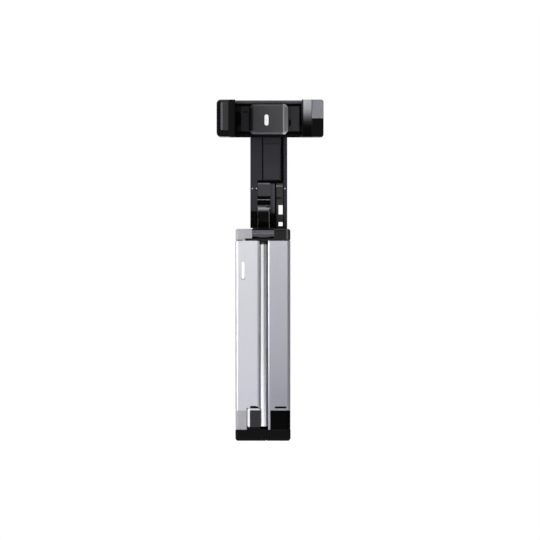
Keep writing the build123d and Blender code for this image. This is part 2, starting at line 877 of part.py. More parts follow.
with BuildPart() as button_twin:
    with BuildSketch(Plane.XZ.offset(half_depth + button_proud)):
        with Locations((button_x, button_z)):
            SlotOverall(button_height, button_width, rotation=90)
    extrude(amount=-(half_depth + button_proud + button_flange_front))
    fillet(edges().group_by(Axis.Y)[0], 0.3)
    with BuildSketch(Plane.XZ.offset(-button_flange_front)):
        with Locations((button_x, button_z)):
            SlotOverall(button_height + 2 * button_rim, button_width + 2 * button_rim, rotation=90)
    extrude(amount=-button_flange)
save_left(button_twin.part, "shutter_button")


# --------------------------------------------------------------- head and fold hinge

neck_angle = atan2(neck_rise, neck_reach)
along = (cos(neck_angle), sin(neck_angle))  # from the fold axis to the tilt axis, in Y and Z
under = (sin(neck_angle), -cos(neck_angle))  # square to it, on the neck's lower side


def beside_neck(distance, offset):
    """The point at a distance along the neck's line and an offset to its lower side, in Y and Z."""
    return (
        fold_y + along[0] * distance + under[0] * offset,
        fold_z + along[1] * distance + under[1] * offset,
    )


neck_half = neck_thickness / 2
hinge_room = barrel_radius + barrel_clearance

with BuildPart() as head_base:
    with BuildSketch(Plane.XY.offset(head_bottom)):
        RectangleRounded(body_width, body_depth, body_corner)
    extrude(amount=head_height)
    fillet(edges().group_by(Axis.Z)[-1], head_fillet)
    # room for the side cap: only a tongue is left inside it
    block(
        -half_width - 1, cap_inner, -half_depth - 1, half_depth + 1, head_bottom - 1, head_top + 1,
        mode=Mode.SUBTRACT,
    )
    block(
        -half_width + cap_wall, cap_inner, -half_depth + cap_wall - 0.2, half_depth - cap_wall,
        head_bottom, head_top - cap_wall + 0.1,
    )
    block(
        -half_width + cap_skirt, cap_inner, -half_depth + 0.02, half_depth - 0.02,
        head_bottom, head_bottom + cap_step,
    )
    # rib that the arm's lower end stands against
    block(
        cap_inner + back_rib_gap, arm_right,
        arm_back + back_rib_gap, arm_back + back_rib_gap + back_rib_width,
        head_top - 1, arm_bottom + back_rib_lap,
    )
    # plate under the head, and a tab in the right rear corner: they close the joint to the legs
    block(
        -spigot_reach_left, spigot_reach_right, -half_depth + lip_thickness + spigot_wall_gap,
        core_back - spigot_wall_gap, hub_top + spigot_gap, head_bottom,
    )
    block(
        rib_inner, half_width - corner_tab_inset, core_back + corner_tab_gap, half_depth - corner_tab_gap,
        hub_top + spigot_gap, head_bottom,
    )
    rod_z(0, pole_y, hub_top, head_bottom, tube_radii[3] + spigot_bore_gap, mode=Mode.SUBTRACT)
    # notch for the hinge barrel, with a ramp behind it for the neck
    with BuildSketch(Plane.YZ.offset(notch_left)):
        with Locations((fold_y, fold_z)):
            Circle(hinge_room)
        with BuildLine():
            Polyline(
                (-half_depth - 1, fold_z - hinge_room),
                (fold_y, fold_z - hinge_room),
                (fold_y, fold_z),
                beside_neck(0, neck_half + barrel_clearance),
                beside_neck(12, neck_half + barrel_clearance),
                (-half_depth - 1, head_top + 8),
                close=True,
            )
        make_face()
    extrude(amount=notch_right - notch_left, mode=Mode.SUBTRACT)
    # the floor is open in front where the folded neck comes down
    block(
        neck_left - neck_side_gap, neck_right + neck_side_gap, -half_depth - 1, fold_y + notch_floor_cut,
        hub_top, fold_z, mode=Mode.SUBTRACT,
    )
    rod_x(-fold_pin_half, fold_pin_half, fold_y, fold_z, fold_pin_radius, mode=Mode.SUBTRACT)
    # socket of the innermost tube and the keyed seat of its plug
    rod_z(0, pole_y, head_bottom - 1, head_socket_top, tube_radii[4], mode=Mode.SUBTRACT)
    plug_radius = tube_radii[4] - tube_wall
    plug_top = head_bottom + plug_rise
    with BuildSketch(Plane.XY.offset(head_socket_top)) as plug_key:
        with Locations((0, pole_y)):
            Circle(plug_radius)
        with Locations((0, pole_y - plug_flat - plug_radius)):
            Rectangle(2 * plug_radius, 2 * plug_radius, mode=Mode.SUBTRACT)
    extrude(amount=plug_top - head_socket_top, mode=Mode.SUBTRACT)
save(head_base.part, "head_base")

with BuildPart() as top_plug:
    rod_z(0, pole_y, head_socket_top - plug_length, head_socket_top, plug_radius)
    add(extrude(plug_key.sketch, amount=plug_top - head_socket_top, mode=Mode.PRIVATE))
save(top_plug.part, "tube_top_plug")

with BuildPart() as side_cap:
    with BuildSketch(Plane.XY.offset(head_bottom)):
        RectangleRounded(body_width, body_depth, body_corner)
    extrude(amount=head_height)
    fillet(edges().group_by(Axis.Z)[-1], head_fillet)
    block(
        cap_inner, half_width + 1, -half_depth - 1, half_depth + 1, head_bottom - 1, head_top + 1,
        mode=Mode.SUBTRACT,
    )
    block(
        -half_width + cap_wall, cap_inner + 1, -half_depth + cap_wall - 0.2, half_depth - cap_wall,
        head_bottom - 1, head_top - cap_wall + 0.1, mode=Mode.SUBTRACT,
    )
    block(
        -half_width + cap_skirt, cap_inner + 1, -half_depth - 1, half_depth + 1,
        head_bottom - 1, head_bottom + cap_step, mode=Mode.SUBTRACT,
    )
    block(
        -half_width + corner_tab_inset, -rib_inner, core_back + corner_tab_gap, half_depth - corner_tab_gap,
        hub_top + spigot_gap, head_bottom,
    )
save(side_cap.part, "head_side_cap")

with BuildPart() as fold_pin:
    rod_x(-fold_pin_half, fold_pin_half, fold_y, fold_z, fold_pin_radius)
    chamfer(edges().filter_by(GeomType.CIRCLE), 0.25)
save(fold_pin.part, "fold_pin")


def friction_rings(x0, x1, count):
    """Hinge rings side by side on the fold pin, each with a shallow groove beside the next."""
    ring = (x1 - x0) / count
    for index in range(count):
        start = x0 + index * ring
        rod_x(start, start + ring, fold_y, fold_z, barrel_radius - washer_groove_depth)
        rod_x(start + washer_groove / 2, start + ring - washer_groove / 2, fold_y, fold_z, barrel_radius)
    rod_x(x0, x1, fold_y, fold_z, fold_pin_radius, mode=Mode.SUBTRACT)


with BuildPart() as fold_washers:
    left_rings = max(1, round(left_ring_stretch / washer_width))
    friction_rings(notch_left, neck_left - neck_side_gap, left_rings)
    right_rings = max(1, round(right_ring_stretch / washer_width))
    friction_rings(neck_right + neck_side_gap, notch_right, right_rings)
save(fold_washers.part, "fold_washers")

washer_seat = bracket_left - tilt_washer_length
with BuildPart() as neck_link:
    with BuildSketch(Plane.YZ.offset(neck_left)):
        with BuildLine():
            Polyline(
                beside_neck(0, -neck_half),
                beside_neck(0, neck_half),
                beside_neck(neck_reach / along[0], neck_half),
                beside_neck(neck_reach / along[0], -neck_half),
                close=True,
            )
        make_face()
        with Locations((fold_y, fold_z)):
            Circle(barrel_radius)
        with Locations((tilt_y, tilt_z)):
            Circle(tilt_knuckle_radius)
    extrude(amount=neck_right - neck_left)
    # grooves that carry the friction rings' lines across the neck's own barrel
    neck_rings = max(1, round((neck_right - neck_left) / washer_width))
    for index in range(1, neck_rings):
        groove_x = neck_left + index * (neck_right - neck_left) / neck_rings
        with BuildSketch(Plane.YZ.offset(groove_x - washer_groove / 2)):
            with Locations((fold_y, fold_z)):
                Circle(barrel_radius + washer_groove)
                Circle(barrel_radius - washer_groove_depth, mode=Mode.SUBTRACT)
        extrude(amount=washer_groove, mode=Mode.SUBTRACT)
    # upper front cut back, so that the folded neck stands clear of the legs
    block(
        neck_left - 1, neck_right + 1, fold_y - 5, -half_depth + neck_relief_y,
        head_top + neck_relief_z, tilt_z + 5, mode=Mode.SUBTRACT,
    )
    rod_x(neck_left - 1, neck_right + 1, fold_y, fold_z, fold_pin_radius + pin_clearance, mode=Mode.SUBTRACT)
    rod_x(neck_left - 1, neck_right + 1, tilt_y, tilt_z, tilt_pin_radius + pin_clearance, mode=Mode.SUBTRACT)
    rod_x(
        washer_seat - neck_side_gap, neck_right + 1, tilt_y, tilt_z, tilt_knuckle_radius + 0.9,
        mode=Mode.SUBTRACT,
    )
save(neck_link.part, "neck_link")


# ------------------------------------------------------------------------ the arm

bay_top_z = arm_bottom + bay_top
strut_bottom = arm_bottom + strut_lift
strut_top = bay_top_z - strut_top_drop
window_x0 = strut_left + strut_wall
window_x1 = strut_right - strut_thin_wall
windows = (
    (arm_bottom + window_lift, window_height),
    (arm_bottom + lower_window_lift, lower_window_height),
)
panel_x0 = panel_left
panel_z0 = bay_top_z + panel_lift
panel_z1 = clamp_bottom - panel_top_gap
roller_z = strut_top - roller_drop
roller_y = arm_front + roller_radius + roller_sink

with BuildPart() as arm_body:
    with BuildSketch(Plane.XZ.offset(-arm_back)):
        with Locations((arm_axis_x, (arm_bottom + arm_swivel_height) / 2)):
            Rectangle(arm_width, arm_swivel_height - arm_bottom)
        with Locations((arm_axis_x, arm_swivel_height)):
            Circle(arm_width / 2)
    extrude(amount=arm_thickness)
    fillet(faces().sort_by(Axis.Y)[-1].edges(), arm_fillet)
    # hinge bay, open to the front; the neck's slot runs right through below the tilt axis
    block(bay_left, bay_right, arm_front - 1, arm_floor, arm_bottom - 1, bay_top_z, mode=Mode.SUBTRACT)
    block(
        neck_left - neck_side_gap, neck_right + neck_side_gap, arm_front - 1, arm_back + 1,
        arm_bottom - 1, tilt_z + slot_over_tilt, mode=Mode.SUBTRACT,
    )
    block(
        washer_seat - neck_side_gap, bracket_left, arm_front, arm_back + 1,
        tilt_z - slot_over_tilt, tilt_z + slot_over_tilt, mode=Mode.SUBTRACT,
    )
    # the left rail is set back beside the neck
    block(
        arm_left - 1, bay_left + 1, arm_front - 1, arm_front + rail_step,
        arm_bottom - 1, tilt_z - rail_step_drop, mode=Mode.SUBTRACT,
    )
    for window_z, height in windows:
        block(
            window_x0, window_x1, arm_floor - 1, arm_back + 1, window_z, window_z + height,
            mode=Mode.SUBTRACT,
        )
    # seat of the raised panel, and the two grooves beside it
    slab_y(
        panel_x0 - panel_seam, panel_x0 + panel_width + panel_seam,
        panel_z0 - panel_seam, panel_z1 + panel_seam,
        arm_front - 1, arm_front + panel_depth, 1.2, mode=Mode.SUBTRACT,
    )
    groove_x0 = panel_x0 - panel_seam - groove_width - 0.3
    block(
        groove_x0, groove_x0 + groove_width, arm_front - 1, arm_front + groove_depth,
        bay_top_z, arm_swivel_height - swivel_radius - 6, mode=Mode.SUBTRACT,
    )
    block(
        bay_right - deep_groove_width, bay_right, arm_front - 1, arm_front + deep_groove_depth,
        bay_top_z - 1, clamp_bottom + tray_flange, mode=Mode.SUBTRACT,
    )
    rod_x(arm_left + 1.2, bay_left + 1, tilt_y, tilt_z, tilt_pin_radius, mode=Mode.SUBTRACT)
    rod_y(
        arm_axis_x, arm_front - 1, arm_back + 1, arm_swivel_height, swivel_radius + swivel_clearance,
        mode=Mode.SUBTRACT,
    )
save(arm_body.part, "arm_body")

with BuildPart() as arm_panel:
    slab_y(
        panel_x0, panel_x0 + panel_width, panel_z0, panel_z1,
        arm_front - panel_proud, arm_front + panel_depth, 1.1,
    )
    chamfer(edges().group_by(Axis.Y)[0], panel_proud - 0.05)
save(arm_panel.part, "arm_panel")

# block that the neck's back stops against when the arm stands upright
with BuildPart() as stop_block:
    slab_y(
        bay_left, bracket_left, bay_top_z - stop_block_drop - stop_block_height, bay_top_z - stop_block_drop,
        arm_front + stop_block_inset, arm_floor, 0.8,
    )
save(stop_block.part, "tilt_stop_block")

with BuildPart() as bracket:
    with BuildSketch(Plane.YZ.offset(bracket_left)):
        bracket_y = (arm_front + bracket_front + arm_floor) / 2
        with Locations((bracket_y, tilt_z + (bracket_top - bracket_bottom) / 2)):
            Rectangle(arm_floor - arm_front - bracket_front, bracket_top + bracket_bottom)
        fillet(vertices().group_by(Axis.X)[0], 1.0)
    extrude(amount=bracket_width)
    rod_x(bracket_left, bracket_right, tilt_y, tilt_z, tilt_pin_radius, mode=Mode.SUBTRACT)
save(bracket.part, "tilt_bracket")

with BuildPart() as strut:
    block(strut_left, strut_right, arm_front + strut_front, arm_floor, strut_bottom, strut_top)
    for window_z, height in windows:
        block(
            window_x0, window_x1, arm_front - 1, arm_floor + 1, window_z, window_z + height,
            mode=Mode.SUBTRACT,
        )
    # cross slot under the roller, and the roller's saddle
    block(
        strut_left - 1, strut_right - strut_slot_wall, arm_front - 1, arm_front + strut_slot_depth,
        roller_z - strut_slot_drop - strut_slot_height, roller_z - strut_slot_drop, mode=Mode.SUBTRACT,
    )
    rod_x(strut_left, strut_right, roller_y, roller_z, roller_radius, mode=Mode.SUBTRACT)
    block(
        strut_left, strut_right, arm_front, roller_y,
        roller_z - roller_radius, roller_z + roller_radius, mode=Mode.SUBTRACT,
    )
save(strut.part, "slotted_strut")

with BuildPart() as arm_pins:
    rod_x(arm_left + 1.2, bracket_right, tilt_y, tilt_z, tilt_pin_radius)
    rod_x(strut_left, strut_right, roller_y, roller_z, roller_radius)
    rod_x(bay_left, bracket_left, arm_front + stop_pin_inset, tilt_z + stop_pin_lift, stop_pin_radius)
save(arm_pins.part, "arm_pins")

with BuildPart() as tilt_washers:
    middle_x = (washer_seat + bracket_left) / 2
    rod_x(washer_seat, bracket_left, tilt_y, tilt_z, tilt_knuckle_radius - washer_groove_depth)
    rod_x(washer_seat, middle_x - washer_groove / 2, tilt_y, tilt_z, tilt_knuckle_radius)
    rod_x(middle_x + washer_groove / 2, bracket_left, tilt_y, tilt_z, tilt_knuckle_radius)
    rod_x(washer_seat, bracket_left, tilt_y, tilt_z, tilt_pin_radius, mode=Mode.SUBTRACT)
save(tilt_washers.part, "tilt_washers")


# ---------------------------------------------------------------- clamp tray

axle_front = plate_y0 - 0.3
with BuildPart() as tray:
    with BuildSketch(Plane.YZ.offset(clamp_left)):
        with Locations(((tray_y0 + tray_y1) / 2, arm_swivel_height)):
            Rectangle(tray_depth, arm_width)
        fillet(vertices().group_by(Axis.X)[-1], tray_fillet)
        with Locations(((tray_y0 + tray_floor) / 2, arm_swivel_height)):
            Rectangle(tray_floor - tray_y0, channel_top - channel_bottom, mode=Mode.SUBTRACT)
    extrude(amount=clamp_right - clamp_left)
    # ribs that guide the racks
    for rib_z0, rib_z1 in (
        (plate_top + rack_guide_gap, channel_top),
        (channel_bottom, plate_bottom - rack_guide_gap),
    ):
        block(clamp_left, clamp_right, rack_y0, tray_floor, rib_z0, rib_z1)
    block(
        clamp_left - tongue_reach, clamp_right + tongue_reach, tongue_y0, tongue_y1,
        clamp_bottom + tongue_inset, clamp_top - tongue_inset,
    )
    rod_y(arm_axis_x, tray_y1 - 0.2, arm_back + swivel_end_gap, arm_swivel_height, swivel_radius)
    rod_y(arm_axis_x, axle_front, tray_floor + 0.2, arm_swivel_height, pinion_axle_radius)
    rod_y(
        arm_axis_x, arm_back + swivel_end_gap - screw_length, arm_back + swivel_end_gap,
        arm_swivel_height, screw_radius, mode=Mode.SUBTRACT,
    )
    for side in (-1, 1):
        rod_y(
            arm_axis_x + side * rest_post_offset, tray_floor - 1, tray_y1 + 1, arm_swivel_height,
            rest_post_radius - 0.5, mode=Mode.SUBTRACT,
        )
save(tray.part, "clamp_tray")

with BuildPart() as swivel_washer:
    washer_y = arm_back + swivel_end_gap
    rod_y(arm_axis_x, washer_y, washer_y + swivel_washer_thickness, arm_swivel_height, swivel_washer_radius)
    chamfer(edges().group_by(Axis.Y)[-1], 0.2)
    rod_y(
        arm_axis_x, washer_y - 1, washer_y + 2, arm_swivel_height, screw_radius, mode=Mode.SUBTRACT
    )
save(swivel_washer.part, "swivel_washer")

with BuildPart() as swivel_screw:
    head_y = washer_y + swivel_washer_thickness
    rod_y(arm_axis_x, head_y, head_y + screw_head_height, arm_swivel_height, screw_head_radius)
    fillet(edges().group_by(Axis.Y)[-1], 0.4)
    rod_y(arm_axis_x, washer_y - screw_length, head_y, arm_swivel_height, screw_radius)
    with BuildSketch(Plane.XZ.offset(-(head_y + screw_head_height))):
        with Locations((arm_axis_x, arm_swivel_height)):
            Rectangle(3.4, 0.8)
            Rectangle(0.8, 3.4)
    extrude(amount=0.5, mode=Mode.SUBTRACT)
save(swivel_screw.part, "swivel_screw")

# cushion block that the phone's back rests on, chamfered all round
rest_x0 = arm_axis_x - rest_width / 2
rest_x1 = arm_axis_x + rest_width / 2
rest_z0 = clamp_bottom + rest_bottom_lift
rest_z1 = rest_z0 + rest_height
rest_front = tray_y0 - rest_thickness


def cut_corners(side_in, top_in, cut):
    """The rest's outline facing Y, taken in at the sides and the top, with corners cut at 45 degrees."""
    x0, x1 = rest_x0 + side_in, rest_x1 - side_in
    z0, z1 = rest_z0 + top_in, rest_z1 - top_in
    return (
        (x0 + cut, z0), (x1 - cut, z0), (x1, z0 + cut), (x1, z1 - cut),
        (x1 - cut, z1), (x0 + cut, z1), (x0, z1 - cut), (x0, z0 + cut),
    )


with BuildPart() as phone_rest:
    with BuildSketch(Plane.XZ.offset(-tray_y0)):
        with BuildLine():
            Polyline(*cut_corners(0, 0, rest_corner_cut), close=True)
        make_face()
    extrude(amount=rest_rim)
    for plane_y, side_in, top_in, cut in (
        (tray_y0 - rest_rim, 0.0, 0.0, rest_corner_cut),
        (rest_front, rest_side_bevel, rest_top_bevel, rest_corner_cut * 0.6),
    ):
        with BuildSketch(Plane.XZ.offset(-plane_y)):
            with BuildLine():
                Polyline(*cut_corners(side_in, top_in, cut), close=True)
            make_face()
    loft(ruled=True)
    inlay_x = arm_axis_x + inlay_offset_x
    inlay_z = arm_swivel_height + inlay_offset_z
    with BuildSketch(Plane.XZ.offset(-rest_front)) as inlay_outline:
        with Locations((inlay_x, inlay_z)):
            SlotOverall(inlay_height, inlay_width, rotation=90)
    extrude(amount=-inlay_depth, mode=Mode.SUBTRACT)
    # posts to the tray's back wall, and ribs that hold the racks in
    for side in (-1, 1):
        rod_y(
            arm_axis_x + side * rest_post_offset, tray_y0 - 0.1, tray_floor, arm_swivel_height,
            rest_post_radius,
        )
        rod_y(
            arm_axis_x + side * rest_post_offset, tray_floor - 0.1, tray_y1 - 0.3, arm_swivel_height,
            rest_post_radius - 0.5,
        )
    rib_gap = drum_radius + 0.4
    for rib_z0, rib_z1 in (
        (arm_swivel_height + rib_gap, plate_top - 0.4),
        (plate_bottom + 0.4, arm_swivel_height - rib_gap),
    ):
        block(rest_x0 + 0.6, rest_x1 - 0.6, tray_y0 - 0.1, rack_y0 - rack_back_gap, rib_z0, rib_z1)
save(phone_rest.part, "phone_rest")

with BuildPart() as inlay:
    extrude(inlay_outline.sketch, amount=-inlay_depth)
save(inlay.part, "phone_rest_inlay")


# --------------------------------------------------------- rack and pinion drive

flank = tan(radians(pressure_angle))
half_space = rack_pitch / 4


def tooth_half_width(height):
    """Half of a rack tooth's width at a height over the pitch line."""
    return half_space - tooth_backlash / 2 - height * flank


def tooth_corner(radius, offset, angle):
    """A corner of a pinion tooth that points at an angle, off its middle line by an offset."""
    return (
        arm_axis_x + radius * cos(angle) - offset * sin(angle),
        arm_swivel_height + radius * sin(angle) + offset * cos(angle),
    )


tooth_stations = (
    (pitch_radius - tooth_root - 0.2, tooth_half_width(-tooth_root) * 0.92),
    (pitch_radius, tooth_half_width(0)),
    (pitch_radius + tooth_tip, tooth_half_width(tooth_tip) * 0.9),
)
with BuildPart() as pinion:
    with BuildSketch(Plane.XZ.offset(-rack_y1)):
        with Locations((arm_axis_x, arm_swivel_height)):
            Circle(pitch_radius - tooth_root)
        for tooth in range(pinion_teeth):
            angle = pi / 2 + 2 * pi * tooth / pinion_teeth
            low_side = [tooth_corner(radius, -offset, angle) for radius, offset in tooth_stations]
            high_side = [tooth_corner(radius, offset, angle) for radius, offset in tooth_stations]
            with BuildLine():
                Polyline(*low_side, *reversed(high_side), close=True)
            make_face()
    extrude(amount=rack_thickness + drum_rack_gap)
    rod_y(
        arm_axis_x, tray_y0, tray_y1, arm_swivel_height, pinion_axle_radius + pinion_axle_clearance,
        mode=Mode.SUBTRACT,
    )
save(pinion.part, "pinion")

with BuildPart() as drum:
    drum_y1 = rack_y0 - drum_rack_gap
    rod_y(arm_axis_x, drum_y1 - drum_thickness, drum_y1, arm_swivel_height, drum_radius)
    fillet(edges().group_by(Axis.Y)[0], 0.4)
    rod_y(
        arm_axis_x, tray_y0, tray_y1, arm_swivel_height, pinion_axle_radius + pinion_axle_clearance,
        mode=Mode.SUBTRACT,
    )
save(drum.part, "spring_drum")


def slide(jaw_face, rack_end, setback, outward, upper):
    """A clamp slide: visible plate, rack behind it, and the root that the jaw is fixed on.

    setback is how far the plate's end stands in from the jaw;
    outward is -1 for the left slide and 1 for the right; upper is 1 where the rack
    runs over the pinion and -1 where it runs under it."""
    plate_end = rest_x0 - plate_inner_gap if outward < 0 else rest_x1 + plate_inner_gap
    root_end = jaw_face + outward * slide_root
    pitch_z = arm_swivel_height + upper * pitch_radius
    back_z = plate_top if upper > 0 else plate_bottom
    root_z = pitch_z + upper * tooth_root
    with BuildPart() as part:
        plate_start = jaw_face - outward * setback
        block(
            min(plate_start, plate_end), max(plate_start, plate_end), plate_y0, plate_y1,
            plate_bottom, plate_top,
        )
        web_end = jaw_face - outward * slide_web
        block(min(jaw_face, web_end), max(jaw_face, web_end), plate_y1, rack_y0, root_z, back_z)
        block(min(jaw_face, rack_end), max(jaw_face, rack_end), rack_y0, rack_y1, root_z, back_z)
        block(min(jaw_face, root_end), max(jaw_face, root_end), plate_y0, rack_y1, plate_bottom, plate_top)
        # teeth: a space of the rack stands over the pinion's axis, where a pinion tooth points
        first = int((min(jaw_face, rack_end) - arm_axis_x) / rack_pitch) - 1
        last = int((max(jaw_face, rack_end) - arm_axis_x) / rack_pitch) + 1
        places = [
            arm_axis_x + (step + 0.5) * rack_pitch
            for step in range(first, last + 1)
        ]
        reach = tooth_half_width(-tooth_root)
        inside = [
            place for place in places
            if min(jaw_face, rack_end) + reach < place < max(jaw_face, rack_end) - reach
        ]
        with BuildSketch(Plane.XZ.offset(-rack_y1)):
            for place in inside:
                with BuildLine():
                    Polyline(
                        (place - tooth_half_width(-tooth_root), root_z + upper * 0.1),
                        (place - tooth_half_width(tooth_tip), pitch_z - upper * tooth_tip),
                        (place + tooth_half_width(tooth_tip), pitch_z - upper * tooth_tip),
                        (place + tooth_half_width(-tooth_root), root_z + upper * 0.1),
                        close=True,
                    )
                make_face()
        extrude(amount=rack_thickness)
    return part.part


left_rack_end = clamp_right - rack_end_gap
right_rack_end = left_jaw_face + 1.1
with BuildPart() as left_slide:
    add(slide(left_jaw_face, left_rack_end, left_plate_setback, -1, 1))
    slot_x = left_jaw_face + left_plate_setback + plate_slot_gap
    slot_z = arm_swivel_height + plate_slot_lift
    block(
        slot_x, slot_x + plate_slot_width, plate_y0 - 1, plate_y1 + 1,
        slot_z - plate_slot_height / 2, slot_z + plate_slot_height / 2, mode=Mode.SUBTRACT,
    )
save(left_slide.part, "left_slide")

with BuildPart() as right_slide:
    add(slide(right_jaw_face, right_rack_end, right_plate_setback, 1, -1))
    notch_x = rest_x1 + plate_notch_gap
    notch_z = arm_swivel_height - plate_notch_drop
    block(
        notch_x, notch_x + plate_notch_width, plate_y0 - 1, plate_y1 + 1,
        notch_z - plate_notch_height, notch_z, mode=Mode.SUBTRACT,
    )
    tab_x = rest_x1 + plate_tab_gap
    tab_z = arm_swivel_height - plate_tab_drop
    block(
        tab_x, tab_x + plate_tab_width, plate_y0 - plate_tab_proud, plate_y0,
        tab_z - plate_tab_height, tab_z,
    )
save(right_slide.part, "right_slide")


# ------------------------------------------------------------------------- jaws

jaw_front = -jaw_tip
left_split = left_jaw_face - left_pad_thickness
left_outer = left_jaw_face - left_jaw_width
right_split = right_jaw_face + right_pad_thickness
right_outer = right_jaw_face + right_jaw_width


def jaw_pad(face_x, split_x, outward):
    """The soft pad on a jaw: its gripping side is hollowed between two lands, with grooves."""
    floor_x = face_x + outward * pad_hollow
    hollow_y0 = jaw_front + pad_tip_land
    hollow_y1 = tray_y1 - pad_root_land
    with BuildPart() as pad:
        block(min(face_x, split_x), max(face_x, split_x), jaw_front, tray_y1, clamp_bottom, clamp_top)
        with BuildSketch(Plane.XY.offset(clamp_bottom)):
            with BuildLine():
                Polyline(
                    (face_x - outward, hollow_y0), (face_x, hollow_y0),
                    (floor_x, hollow_y0 + pad_hollow), (floor_x, hollow_y1 - pad_hollow),
                    (face_x, hollow_y1), (face_x - outward, hollow_y1),
                    close=True,
                )
            make_face()
        extrude(amount=arm_width, mode=Mode.SUBTRACT)
        fillet(upright_edges(face_x, jaw_front), 1.0)
        run = (hollow_y1 - hollow_y0 - 2 * pad_hollow) / pad_grooves
        for index in range(pad_grooves):
            groove_y = hollow_y0 + pad_hollow + (index + 0.5) * run
            block(
                min(floor_x, floor_x + outward * pad_groove_depth),
                max(floor_x, floor_x + outward * pad_groove_depth),
                groove_y - pad_groove_width / 2, groove_y + pad_groove_width / 2,
                clamp_bottom + 1.5, clamp_top - 1.5, mode=Mode.SUBTRACT,
            )
        root_end = face_x + outward * slide_root
        block(
            min(face_x, root_end), max(face_x, root_end), plate_y0, rack_y1,
            plate_bottom, plate_top, mode=Mode.SUBTRACT,
        )
        pocket_end = face_x + outward * (tongue_reach + tongue_clearance)
        block(
            min(face_x, pocket_end), max(face_x, pocket_end),
            tongue_y0 - tongue_clearance, tongue_y1 + tongue_clearance,
            clamp_bottom + tongue_inset - tongue_clearance, clamp_top - tongue_inset + tongue_clearance,
            mode=Mode.SUBTRACT,
        )
    return pad.part


save(jaw_pad(left_jaw_face, left_split, -1), "left_jaw_pad")
save(jaw_pad(right_jaw_face, right_split, 1), "right_jaw_pad")

with BuildPart() as left_shell:
    with BuildSketch(Plane.XZ.offset(-tray_y1)):
        with Locations(((left_outer + left_split) / 2, arm_swivel_height)):
            Rectangle(left_split - left_outer, arm_width)
        fillet(vertices().group_by(Axis.X)[0], left_jaw_corner)
    extrude(amount=tray_y1 - jaw_front)
    fillet(faces().sort_by(Axis.Y)[0].edges().filter_by(lambda e: e.center().X < left_split - 0.1), 0.8)
    fillet(faces().sort_by(Axis.Y)[-1].edges().filter_by(lambda e: e.center().X < left_split - 0.1), 0.8)
    root_end = left_jaw_face - slide_root
    block(root_end, left_split + 1, plate_y0, rack_y1, plate_bottom, plate_top, mode=Mode.SUBTRACT)
    # seat of the tip pad
    tip_x0 = left_outer + tip_inset
    tip_z0 = clamp_bottom + tip_lift
    slab_y(
        tip_x0, tip_x0 + tip_width, tip_z0, tip_z0 + tip_height, jaw_front - 1, jaw_front + tip_seat,
        0.9, mode=Mode.SUBTRACT,
    )
save(left_shell.part, "left_jaw_shell")

with BuildPart() as tip_pad:
    slab_y(
        tip_x0, tip_x0 + tip_width, tip_z0, tip_z0 + tip_height, jaw_front - tip_proud,
        jaw_front + tip_seat, 0.9,
    )
    fillet(edges().group_by(Axis.Y)[0], tip_proud - 0.1)
save(tip_pad.part, "left_jaw_tip")

with BuildPart() as right_shell_jaw:
    # side view: the tip face is two planes that meet in a ridge at mid-height
    with BuildSketch(Plane.YZ.offset(right_split)):
        with BuildLine():
            Polyline(
                (tray_y1, clamp_bottom), (tray_y1, clamp_top), (jaw_front + ridge_fall, clamp_top),
                (jaw_front, arm_swivel_height), (jaw_front + ridge_fall, clamp_bottom),
                close=True,
            )
        make_face()
    extrude(amount=right_outer - right_split)
    fillet(edges().filter_by(Axis.Y).group_by(Axis.X)[-1], right_jaw_corner)
    root_end = right_jaw_face + slide_root
    if root_end > right_split:
        block(right_split - 1, root_end, plate_y0, rack_y1, plate_bottom, plate_top, mode=Mode.SUBTRACT)
save(right_shell_jaw.part, "right_jaw_shell")
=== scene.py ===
"""Pocket selfie stick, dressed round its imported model: the finishes of every part,
and the small fittings that the solids leave out. Metres, +Z up, front towards -Y."""

from math import radians

import bpy
import numpy as np
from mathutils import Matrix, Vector


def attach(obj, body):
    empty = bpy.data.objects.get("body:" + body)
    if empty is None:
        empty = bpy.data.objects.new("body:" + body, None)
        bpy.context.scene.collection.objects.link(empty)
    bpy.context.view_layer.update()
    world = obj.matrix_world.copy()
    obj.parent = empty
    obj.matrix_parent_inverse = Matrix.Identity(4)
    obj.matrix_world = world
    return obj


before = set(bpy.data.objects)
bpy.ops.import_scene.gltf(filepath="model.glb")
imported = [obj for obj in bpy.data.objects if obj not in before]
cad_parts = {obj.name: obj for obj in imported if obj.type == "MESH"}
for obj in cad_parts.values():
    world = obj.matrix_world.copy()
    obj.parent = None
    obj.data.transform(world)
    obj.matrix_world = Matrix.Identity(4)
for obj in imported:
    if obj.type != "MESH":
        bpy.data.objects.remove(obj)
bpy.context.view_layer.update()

# ------------------------------------------------------------------ camera
# A long lens straight in front, level with the middle of the stick, so that
# parallel edges stay parallel. The view is 351 mm wide at the stick.

MM = 0.001
AIM = Vector((4.55, 0.0, 110.8)) * MM
VIEW_WIDTH = 351 * MM
LENS = 400.0
SENSOR = 36.0


def add_object(name, data):
    """An object that holds the data, linked to the scene."""
    made = bpy.data.objects.new(name, data)
    bpy.context.scene.collection.objects.link(made)
    return made


camera_data = bpy.data.cameras.new("shot_camera")
camera_data.lens = LENS
camera_data.sensor_width = SENSOR
camera_data.clip_start = 0.05
camera_data.clip_end = 30.0
camera = add_object("shot_camera", camera_data)
camera.location = AIM + Vector((0.0, -VIEW_WIDTH * LENS / SENSOR, 0.0))
camera.rotation_euler = (radians(90), 0.0, 0.0)
bpy.context.scene.camera = camera
bpy.context.scene.view_settings.view_transform = "Standard"


# ------------------------------------------------------------------- table
# A round table top of white laminate, matt, very pale and lit from below, with
# only a trace of tooth. The room behind it is white too, so that no horizon shows.


